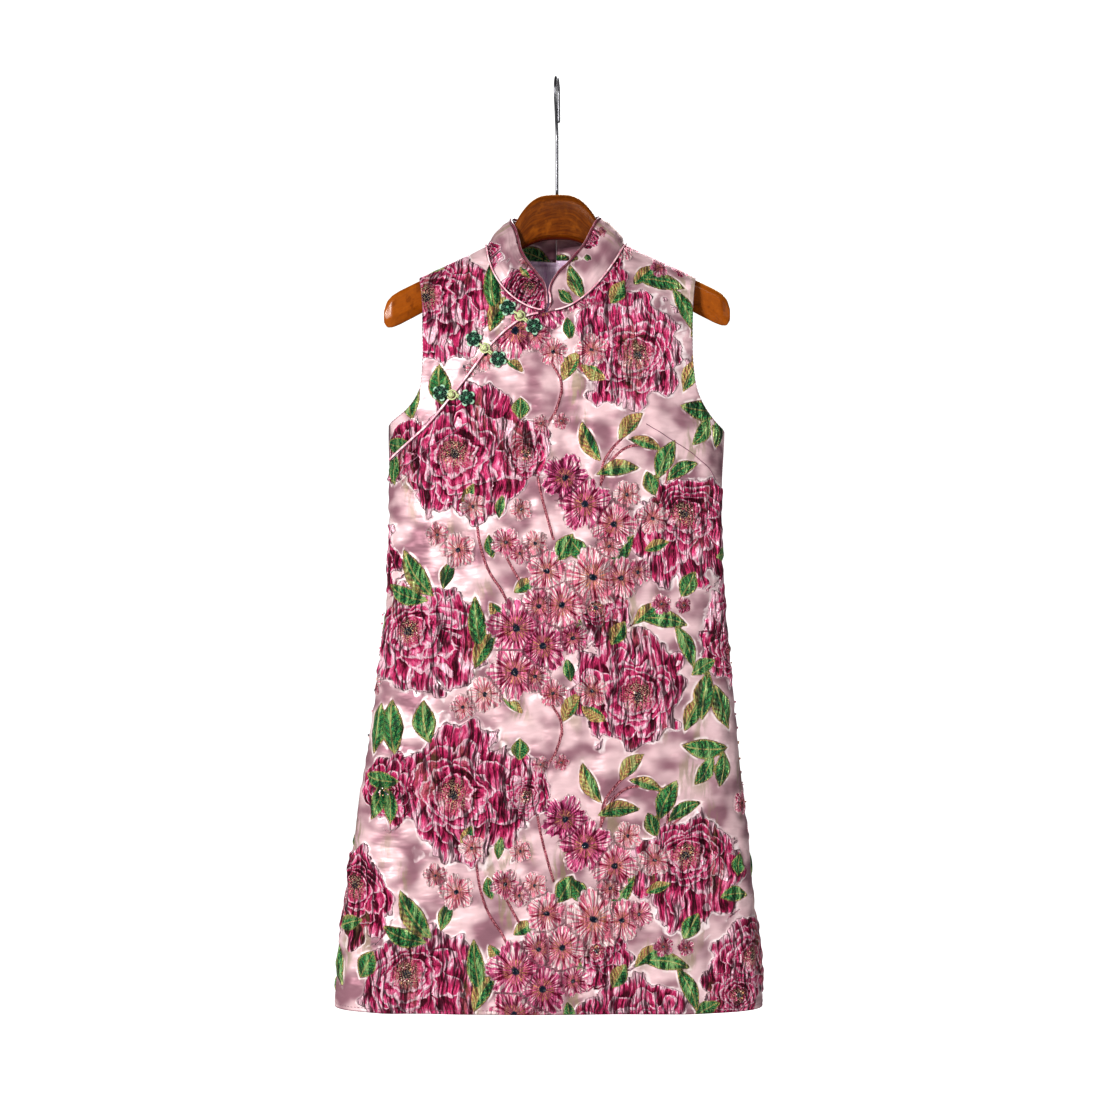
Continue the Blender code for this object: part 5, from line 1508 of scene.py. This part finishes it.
keep(add_cords("hanger_hook_wire", [(path, size, 18)], hook_steel), "hanger_hook")
print("hook top, mm:", round(float(path[:, 2].max() + HOOK_WIRE) / MM, 2))

# %% [markdown]
# ## Peony
# With the shapes done, the finishes follow. A full peony is rings of ruffled petals, each ring lying
# over the one outside it. For every ring an outline is worked out as a function of the angle; inside
# it the colour deepens from the lip to the place where the next ring covers it. The heart is a bowl
# with pale stamens.

# %% Peony group
PETAL_RINGS = (
    # radius, petals, turn, cut between petals
    (1.00, 9, 0.3, 0.13), (0.80, 8, 1.1, 0.22), (0.62, 7, 2.0, 0.22), (0.47, 5, 0.6, 0.10),
    (0.34, 5, 1.7, 0.16),
)
net, take, give = new_group("peony petals", {"Place": VECTOR, "Seed": VALUE}, dict.fromkeys(
    ("Cover", "Deep", "Lip", "Stamens", "Eye", "Outside", "Ruffle", "Inner"), VALUE))
x, y, far = net.split(take["Place"])
seed = net.times(take["Seed"], 37.0)
small = net.noise(net.stretch(take["Place"], (12.0, 12.0, 0.0), net.join(seed, seed)), 1.0, 2.0, 0.5)
angle = net.math("ARCTAN2", y, x)
reach = net.math("SQRT", net.plus(net.times(x, x), net.times(y, y)))
reach = net.most(reach, net.times(far, 0.87))
reach = net.plus(reach, net.line(small, 0.12, -0.06))
deep, lip, cover = 0.5, 0.0, None
for k, (radius, petals, turn, cut) in enumerate(PETAL_RINGS):
    wave = net.size(net.cos(net.line(angle, petals / 2.0, turn)))
    outline = net.times(net.line(net.power(wave, 0.6), cut, 1.0 - cut), radius)
    depth = net.less(outline, reach)
    inside = net.step(depth, 0.0, 0.02)
    next_radius = PETAL_RINGS[k + 1][0] if k + 1 < len(PETAL_RINGS) else 0.1
    fall = net.math("DIVIDE", depth, (radius - next_radius) * 1.3, clamp=True)
    split = net.step(wave, 0.22, 0.0, 0.0, 0.5)
    deep = net.lerp(inside, deep, net.most(fall, split))
    lip = net.lerp(inside, lip, net.step(depth, 0.065, 0.02))
    if cover is None:
        near = net.step(far, 1.25, 1.15)
        cover = net.times(inside, near)
        # the band just outside the outer ring is a painted highlight: a pale line where the peony puffs up
        outside = net.times(net.step(depth, -0.075, -0.02), near)
back_of_bowl = net.times(net.step(reach, 0.46, 0.40), net.step(y, -0.02, 0.16))
deep = net.plus(deep, net.times(back_of_bowl, 0.5), clamp=True)
stamens, eye = net.times(net.step(reach, 0.30, 0.12), near), net.times(net.step(reach, 0.09, 0.05), near)
round_it = net.join(net.times(net.cos(angle), 2.2), net.times(net.sin(angle), 2.2), net.times(reach, 8.0))
give(Cover=cover, Deep=deep, Lip=lip, Stamens=stamens, Eye=eye, Outside=outside,
     Ruffle=net.noise(round_it, 1.5, 3.0, 0.6), Inner=net.step(reach, 0.72, 0.40))

# %% [markdown]
# ## Blossom and leaf
# The small blossoms have five petals with notched ends and fine strokes from a dark middle. A leaf
# has a middle vein, slanting side veins and a gold outline; some have one half in coral and gold.

# %% Blossom group
net, take, give = new_group("blossom petals", {"Place": VECTOR, "Seed": VALUE},
                            dict.fromkeys(("Cover", "Deep", "Stamens", "Eye", "Edge"), VALUE))
x, y, far = net.split(take["Place"])
seed = net.times(take["Seed"], 53.0)
angle = net.plus(net.math("ARCTAN2", y, x), seed)
crumple = net.noise(net.stretch(take["Place"], (6.0, 6.0, 0.0), net.join(seed, seed)), 1.0, 3.0, 0.6)
reach = net.plus(far, net.line(crumple, 0.22, -0.11))
wave = net.power(net.size(net.cos(net.times(angle, 2.5))), 0.5)
notch = net.size(net.sin(net.times(angle, 11.0)))
outline = net.line(notch, 0.07, net.line(wave, 0.38, 0.58))
strokes = net.join(net.times(net.cos(angle), 5.0), net.times(net.sin(angle), 5.0), net.times(reach, 1.2))
strokes = net.noise(strokes, 1.6, 2.0, 0.6)
deep = net.line(net.step(strokes, 0.42, 0.58), 0.62, net.times(net.step(reach, 0.70, 0.1), 0.5), clamp=True)
depth = net.less(outline, reach)
give(Cover=net.step(depth, 0.0, 0.04), Deep=net.most(deep, net.step(wave, 0.6, 0.2, 0.0, 1.15)),
     Stamens=net.times(net.step(reach, 0.44, 0.30), net.step(strokes, 0.48, 0.55)),
     Eye=net.step(reach, 0.17, 0.10), Edge=net.step(depth, 0.10, 0.02))

# %% Leaf group
net, take, give = new_group("leaf blade", {"Place": VECTOR, "Gold": VALUE, "Fine": VECTOR},
                            {"Cover": VALUE, "Colour": COLOUR, "Rim": VALUE, "Height": VALUE})
along, side, far = net.split(take["Place"])
fleck = net.noise(take["Fine"], 1.1, 2.0, 0.6)
far = net.plus(far, net.line(net.noise(take["Fine"], 0.35, 2.0), 0.24, -0.12))
slant = net.less(net.times(along, 13.0), net.times(net.size(side), 5.0))
veins = net.power(net.size(net.sin(slant)), 2.0)
vein = net.step(net.size(side), 0.12, 0.02)
green = net.paint((2, 70, 52), (veins, (30, 146, 88)), (net.step(fleck, 0.53, 0.62), (150, 186, 96)))
golden = net.paint((186, 96, 96), (veins, (236, 208, 136)), (net.step(fleck, 0.5, 0.6), (122, 146, 62)))
half = net.step(net.plus(side, net.line(take["Gold"], 1.6, -0.9)), -0.08, 0.08)
half = net.times(half, net.step(take["Gold"], 0.2, 0.45))
rim = net.times(net.step(far, 0.80, 0.90), net.step(far, 1.06, 0.98))
colour = net.paint(green, (half, golden), (net.times(vein, 0.85), (198, 184, 120)),
                   (net.times(rim, net.step(fleck, 0.44, 0.54)), (212, 182, 112)))
give(Cover=net.step(far, 1.04, 0.98), Colour=colour, Rim=rim,
     Height=net.less(net.times(veins, 0.35), net.times(vein, 0.5)))
print("node groups:", [group.name for group in bpy.data.node_groups])

# %% [markdown]
# ## Crimp
# Where the motifs are woven, the cloth shrinks sideways into upright ribs, with sharp creases between them;
# the finishes darken these creases with painted shade. The same crimp is used on the dress and on the
# collar: noise that is narrow across and long upwards, from which ribs and creases are read.

# %% Crimp group
net, take, give = new_group("upright crimp", {"Chart": VECTOR},
                            {"Rib": VALUE, "Crease": VALUE, "Stroke": VALUE})
wander = net.noise(take["Chart"], (0.03, 0.022, 0.0), 2.0)
sway = net.join(net.line(wander, 16.0, -8.0), 0.0)
swayed = net.node("ShaderNodeVectorMath", {0: take["Chart"], 1: sway}, operation="ADD").outputs[0]
wide = net.noise(swayed, (0.15, 0.016, 0.0), 2.0, 0.5)
thin = net.noise(swayed, (0.36, 0.042, 0.0), 2.0, 0.55)
ridge = net.size(net.line(wide, 2.0, -1.0))
furrow = net.size(net.line(thin, 2.0, -1.0))
crease = net.most(net.step(ridge, 0.12, 0.01), net.step(furrow, 0.07, 0.0, 0.0, 0.4))
give(Rib=net.plus(net.times(ridge, 1.2), net.times(furrow, 0.8)), Crease=crease,
     Stroke=net.noise(swayed, (0.19, 0.034, 0.0), 4.0, 0.58))

# %% [markdown]
# ## The brocade
# The ground is a smooth satin that shines, with mauve painted shade in soft cloudy patches. Flowers are
# duller and rougher, with metallic gold thread at their hearts and round the leaves. Painted highlights
# outline the peonies and leaves, and painted shade darkens the creases and a thin line along every edge of
# the cloth. Colour, shine and fine relief all come from the same masks, so that the thread changes where
# the colour changes.

# %% Brocade
def finish_brocade(look):
    """Blush satin with puffed, crimped flowers drawn from the mesh's own fields."""
    net = Net(look.node_tree)
    chart = net.stretch(net.field("chart"), (1.0, 1.0, 0.0))
    crimp = use_group(net, "upright crimp", {"Chart": chart})
    tone = net.field("peony_tone", "Fac")
    peony = use_group(net, "peony petals", {"Place": net.field("peony"), "Seed": tone})
    small_tone = net.field("blossom_tone", "Fac")
    blossom = use_group(net, "blossom petals", {"Place": net.field("blossom"), "Seed": small_tone})
    leaf = use_group(net, "leaf blade", {"Place": net.field("leaf"), "Fine": chart,
                                         "Gold": net.field("leaf_tone", "Fac")})
    vine_side, vine_far, from_edge = net.split(net.field("vine"))
    on_vine = net.times(net.step(net.size(vine_side), 1.5, 1.0), net.step(vine_far, 3.4, 2.4))

    # ground: blush with mauve painted shade in random cloudy patches
    cloud = net.noise(chart, (0.026, 0.034, 0.0), 2.0, 0.4)
    pucker = net.noise(chart, (0.034, 0.095, 0.0), 2.0, 0.4)
    fleck = net.noise(chart, 0.75, 2.0, 0.7)
    long_streak = net.plus(net.step(crimp["Stroke"], 0.38, 0.62), -0.5)
    ruffle = net.plus(net.step(peony["Ruffle"], 0.36, 0.64), -0.5)
    streak = net.lerp(net.times(peony["Inner"], 0.75), long_streak, ruffle)
    blotch = net.noise(chart, (0.09, 0.05, 0.0), 2.0)
    wash = net.noise(net.stretch(chart, (0.030, 0.012, 0.0), (5.0, 3.0, 0.0)), 1.0, 1.0)
    wash = net.times(net.step(wash, 0.55, 0.68), net.step(crimp["Stroke"], 0.42, 0.55))
    ground = net.paint((146, 106, 117), (net.step(cloud, 0.36, 0.62), (226, 194, 197)),
                       (net.times(wash, 0.6), (140, 132, 98)))

    # petals: from pale ridges through pink to wine, by ring and by stroke, with painted shade in the
    # creases
    deep = net.line(peony["Deep"], 0.72, net.times(streak, 0.82))
    deep = net.plus(deep, net.line(blotch, 0.9, -0.45))
    deep = net.plus(deep, net.line(tone, 0.5, -0.20))
    deep = net.plus(deep, net.times(peony["Lip"], -0.9), clamp=True)
    stamens = net.times(peony["Stamens"], net.step(fleck, 0.52, 0.57))
    petal = net.paint((255, 208, 222), (net.step(deep, 0.0, 0.20), (242, 124, 166)),
                      (net.step(deep, 0.21, 0.57), (206, 54, 110)),
                      (net.step(deep, 0.60, 1.02), (76, 0, 28)), (net.times(wash, 0.4), (116, 120, 70)),
                      (net.times(crimp["Crease"], 0.9), (34, 0, 12)), (stamens, (238, 212, 180)),
                      (net.times(peony["Eye"], net.step(fleck, 0.60, 0.50)), (30, 34, 56)))

    # small blossoms in pink and coral with a dark blue-green eye, and painted shade in the creases
    small = net.line(long_streak, 0.25, blossom["Deep"])
    small = net.plus(small, net.line(blotch, 0.9, -0.45))
    small = net.plus(small, net.line(small_tone, 0.5, -0.22))
    small = net.plus(small, net.times(blossom["Edge"], -0.6))
    middle_petal = net.paint((248, 152, 164), (small_tone, (226, 96, 156)))
    dark_petal = net.paint((168, 24, 60), (small_tone, (104, 0, 50)))
    bloom = net.paint((255, 226, 226), (net.step(small, 0.14, 0.48), middle_petal),
                      (net.step(small, 0.58, 0.98), dark_petal),
                      (net.times(crimp["Crease"], 0.65), (54, 0, 24)),
                      (net.times(blossom["Stamens"], 0.85), (232, 166, 128)),
                      (blossom["Eye"], (26, 46, 66)))

    # layers: vine, peony, leaf, blossom; peonies and leaves get a painted highlight, a pale line just
    # outside their outline where they puff up
    leaf_far = net.split(net.field("leaf"))[2]
    leaf_painted_highlight = net.times(net.step(leaf_far, 1.05, 1.1), net.step(leaf_far, 1.4, 1.1))
    rope = net.paint((128, 44, 66), (net.step(fleck, 0.42, 0.58), (214, 140, 148)))
    blade = net.paint(leaf["Colour"], (net.step(long_streak, 0.15, 0.55, 0.0, 0.85), (2, 40, 32)),
                      (net.step(long_streak, -0.2, -0.5, 0.0, 0.5), (176, 206, 140)))
    peony_painted_highlight = net.times(peony["Outside"], net.step(blotch, 0.40, 0.60, 0.1, 0.8))
    leaf_painted_highlight = net.times(leaf_painted_highlight, net.step(blotch, 0.42, 0.62, 0.0, 0.9))
    # the last layer is painted shade: a dark wine line within about 1.8 mm of each cloth edge, where the
    # seam and piping shade the cloth
    colour = net.paint(ground, (peony_painted_highlight, (250, 236, 236)), (leaf_painted_highlight, (250, 236, 232)),
                       (on_vine, rope), (peony["Cover"], petal), (leaf["Cover"], blade),
                       (blossom["Cover"], bloom), (net.step(from_edge, 1.8, 0.6, 0.0, 0.5), (110, 40, 62)))
    woven = net.most(net.most(peony["Cover"], leaf["Cover"]), net.most(blossom["Cover"], on_vine))
    gold = net.times(net.most(net.times(leaf["Rim"], 0.8), stamens), net.step(fleck, 0.46, 0.56))
    dull = net.lerp(woven, 0.48, net.line(crimp["Stroke"], 0.3, 0.24))
    metal = net.line(gold, 0.4, net.line(woven, 0.07, 0.21))

    # fine relief in millimetres: petals step up ring by ring, ribs and strokes roughen them
    rings = net.times(net.less(1.0, peony["Deep"]), peony["Cover"])
    rough = net.line(crimp["Rib"], 4.2, net.times(streak, -3.0))
    ribbed = net.line(blossom["Cover"], -0.5, woven)
    height = net.line(rings, 2.4, net.times(rough, ribbed))
    height = net.line(net.times(blossom["Deep"], blossom["Cover"]), -1.6, height)
    height = net.plus(height, net.times(leaf["Height"], leaf["Cover"]))
    height = net.plus(height, net.times(woven, 0.7))
    height = net.plus(height, net.times(pucker, 3.4))
    net.finish({"Base Color": colour, "Roughness": dull, "Metallic": metal, "Specular IOR Level": 0.38,
                "Specular Tint": seen(255, 214, 222)}, height)


finish_brocade(brocade)
print("brocade nodes:", len(brocade.node_tree.nodes))

# %% [markdown]
# ## Satins
# The piping is satin cut on the slant and wound round a cord, so fine lines run round it and its shine is
# long; its flank that turns away from its outward side is darkened with painted shade. The lining is plain
# lilac satin with soft creases.


# %% Satins
def finish_satin(look, dark, light, field, scale, rough, shaded_flank=None):
    """Satin whose tone wanders, with fine slanting weave lines in colour and relief. A shaded flank colour
    is painted shade where the cord turns away from its outward side."""
    net = Net(look.node_tree)
    place = net.field(field) if field else net.node("ShaderNodeTexCoord").outputs["Object"]
    place = net.stretch(place, scale)
    x, y, z = net.split(place)
    cloud = net.noise(place, 0.12, 3.0, 0.6)
    lines = net.line(net.sin(net.plus(net.times(x, 2.6), net.times(y, 2.2))), 0.5, 0.5)
    tone = net.line(lines, 0.18, net.step(cloud, 0.36, 0.64), clamp=True)
    colour = net.paint(dark, (tone, light))
    if shaded_flank is not None:
        # painted shade: the cord's flank that turns away from its outward side takes the darker colour
        colour = net.paint(colour, (net.step(z, 0.80, 0.48, 0.0, 0.92), shaded_flank))
    net.finish({"Base Color": colour, "Roughness": net.line(cloud, 0.2, rough), "Sheen Weight": 0.25,
                "Sheen Roughness": 0.35, "Specular IOR Level": 0.7},
               net.line(lines, 0.10, net.times(cloud, 0.8)), 0.8)


FULL_TURN = 6.2832
ROUND_IT = (1.0, FULL_TURN, 1.0)
# the piping's last colour, dark wine, is painted shade on its flank
finish_satin(piping_satin, (222, 140, 162), (255, 222, 226), "cord_place", ROUND_IT, 0.18, (96, 10, 40))
finish_satin(lining_satin, (206, 168, 204), (244, 222, 242), None, (1000.0, 1000.0, 260.0), 0.28)
finish_satin(seam_thread, (88, 44, 62), (150, 96, 116), "cord_place", ROUND_IT, 0.4)
print("satins finished:", piping_satin.name, "and", lining_satin.name)

# %% [markdown]
# ## Frog cords
# Frogs are made of satin folded round a core, so a cord shows slanting wraps, with painted shade as a dark
# line in the groove between them and painted highlights as pale patches along it. The flowers are deep sea
# green, with a painted highlight on the outer side of each petal; the knots are pale green.


# %% Frog cords
def finish_frog_cord(look, dark, middle, light, shine, ringed=False):
    """Wrapped cord: the wraps are a sine of the place along it and round it, with painted shade in the
    groove between them and pale patches of painted highlight. A ringed one has a painted highlight on the
    outer side of each petal, a dark ring and a pale middle, by the number of its cord."""
    net = Net(look.node_tree)
    along, turn, number = net.split(net.field("cord_place"))
    wrap = net.line(net.sin(net.line(along, 3.4, net.times(turn, FULL_TURN))), 0.5, 0.5)
    place = net.join(net.times(along, 0.9), net.times(turn, 5.0), net.times(number, 13.0))
    thread = net.noise(place, 1.0, 3.0, 0.7)
    # the pale patches from the thread noise are painted highlights, and the dark line in the groove between
    # wraps is painted shade
    colour = net.paint(dark, (net.step(thread, 0.34, 0.56), middle), (net.step(thread, 0.56, 0.66), light),
                       (net.step(wrap, 0.22, 0.0, 0.0, 0.8), dark))
    if ringed:
        petal = net.step(number, 9.6, 9.4)
        odd = net.math("FLOORED_MODULO", net.plus(number, 0.5), 2.0)
        # painted highlight: the outer half of each petal's outer ring is made pale
        outer_side = net.step(net.cos(net.times(along, 0.395)), 0.1, 0.8, 0.0, 0.75)
        painted_crescent_highlight = net.times(outer_side, net.step(odd, 1.1, 0.9))
        dark_ring = net.times(net.step(number, 9.4, 9.6), net.step(number, 11.6, 11.4))
        colour = net.paint(colour, (net.times(petal, painted_crescent_highlight), shine), (dark_ring, dark),
                           (net.step(number, 12.4, 12.6, 0.0, 0.7), light))
    net.finish({"Base Color": colour, "Roughness": net.line(thread, 0.25, 0.15), "Sheen Weight": 0.1,
                "Sheen Roughness": 0.3, "Sheen Tint": seen(*shine), "Specular IOR Level": 0.4},
               net.line(wrap, 0.22, net.times(thread, 0.35)), 0.9)


finish_frog_cord(green_cord, (0, 14, 10), (2, 56, 38), (112, 190, 148), (186, 232, 200), True)
finish_frog_cord(pale_cord, (150, 166, 104), (214, 222, 166), (242, 244, 212), (255, 255, 230))
print("frog cords finished:", green_cord.name, "and", pale_cord.name)

# %% [markdown]
# ## Varnished wood
# The hanger is stained amber and varnished. Its grain runs along each arm, so it is drawn from the place
# kept with the mesh: along the arm, across it, and below the top. Light is painted into the colour as well:
# the arms grow lighter towards their ends, painted shade darkens the lower bevel, and a painted highlight
# runs along the top edge.

# %% Hanger wood and hook
net = Net(hanger_varnish.node_tree)
place = net.stretch(net.field("grain_place"), (1000.0, 1000.0, 1000.0))
run, side, below = net.split(place)
sway = net.noise(place, (0.018, 0.03, 0.04), 2.0)
rings = net.join(net.times(run, 0.020), net.line(sway, 5.0, net.times(below, 0.22)), net.times(side, 0.25))
grain = net.noise(rings, 1.6, 4.0, 0.65)
pores = net.noise(place, (0.12, 1.6, 1.9), 2.0, 0.6)
mottle = net.noise(place, (0.11, 0.10, 0.09), 2.0)
# painted light in the wood colour: lighter towards the arms' ends, painted shade in the lower bevel, and a
# painted highlight along the top edge
bevel = net.times(net.step(net.size(side), 5.2, 3.2), net.step(below, -9.0, -22.0))
wood = net.paint((88, 41, 0), (net.step(grain, 0.34, 0.66), (118, 60, 1)),
                 (net.step(mottle, 0.52, 0.72, 0.0, 0.45), (150, 84, 8)),
                 (net.step(net.size(run), 60.0, 190.0, 0.0, 0.5), (176, 94, 14)),
                 (net.step(mottle, 0.45, 0.32, 0.0, 0.4), (84, 34, 1)),
                 (net.step(pores, 0.64, 0.74, 0.0, 0.4), (70, 28, 2)), (bevel, (84, 26, 6)),
                 (net.step(below, -2.4, -0.8, 0.0, 0.45), (218, 150, 74)))
net.finish({"Base Color": wood, "Roughness": net.line(mottle, 0.16, 0.30), "Specular IOR Level": 0.12,
            "Coat Weight": 0.12, "Coat Roughness": 0.12}, net.line(grain, 0.3, net.times(pores, 0.12)), 0.5)

net = Net(hook_steel.node_tree)
drawn = net.noise(net.field("cord_place"), (0.05, 9.0, 1.0), 3.0, 0.6)
spots = net.noise(net.field("cord_place"), (0.5, 4.0, 1.0), 2.0)
steel = net.paint((74, 74, 78), (net.step(drawn, 0.35, 0.65), (128, 128, 132)),
                  (net.step(spots, 0.62, 0.74, 0.0, 0.6), (60, 50, 44)))
net.finish({"Base Color": steel, "Roughness": net.line(drawn, 0.25, 0.18), "Metallic": 1.0},
           net.times(drawn, 0.05), 0.5)
print("wood and steel finished")

# %% [markdown]
# ## Glass beads
# The beads are glass: clear and smooth, in pale pink, gold and dark blue-green. Each keeps its own
# tone with the mesh, and a little noise makes no two alike.

# %% Bead glass
net = Net(glass_bead.node_tree)
tone = net.field("bead_tone", "Fac")
speckle = net.noise(net.node("ShaderNodeTexCoord").outputs["Object"], (1400.0, 1400.0, 1400.0), 2.0)
glass = net.paint((250, 226, 222), (net.step(tone, 0.15, 0.25), (232, 176, 120)),
                  (net.step(tone, 0.42, 0.5), (222, 98, 140)), (net.step(tone, 0.75, 0.85), (24, 44, 60)),
                  (net.step(speckle, 0.5, 0.7, 0.0, 0.4), (255, 240, 236)))
net.finish({"Base Color": glass, "Roughness": net.line(speckle, 0.15, 0.06), "Coat Weight": 0.7,
            "Coat Roughness": 0.05})
print("bead glass finished")
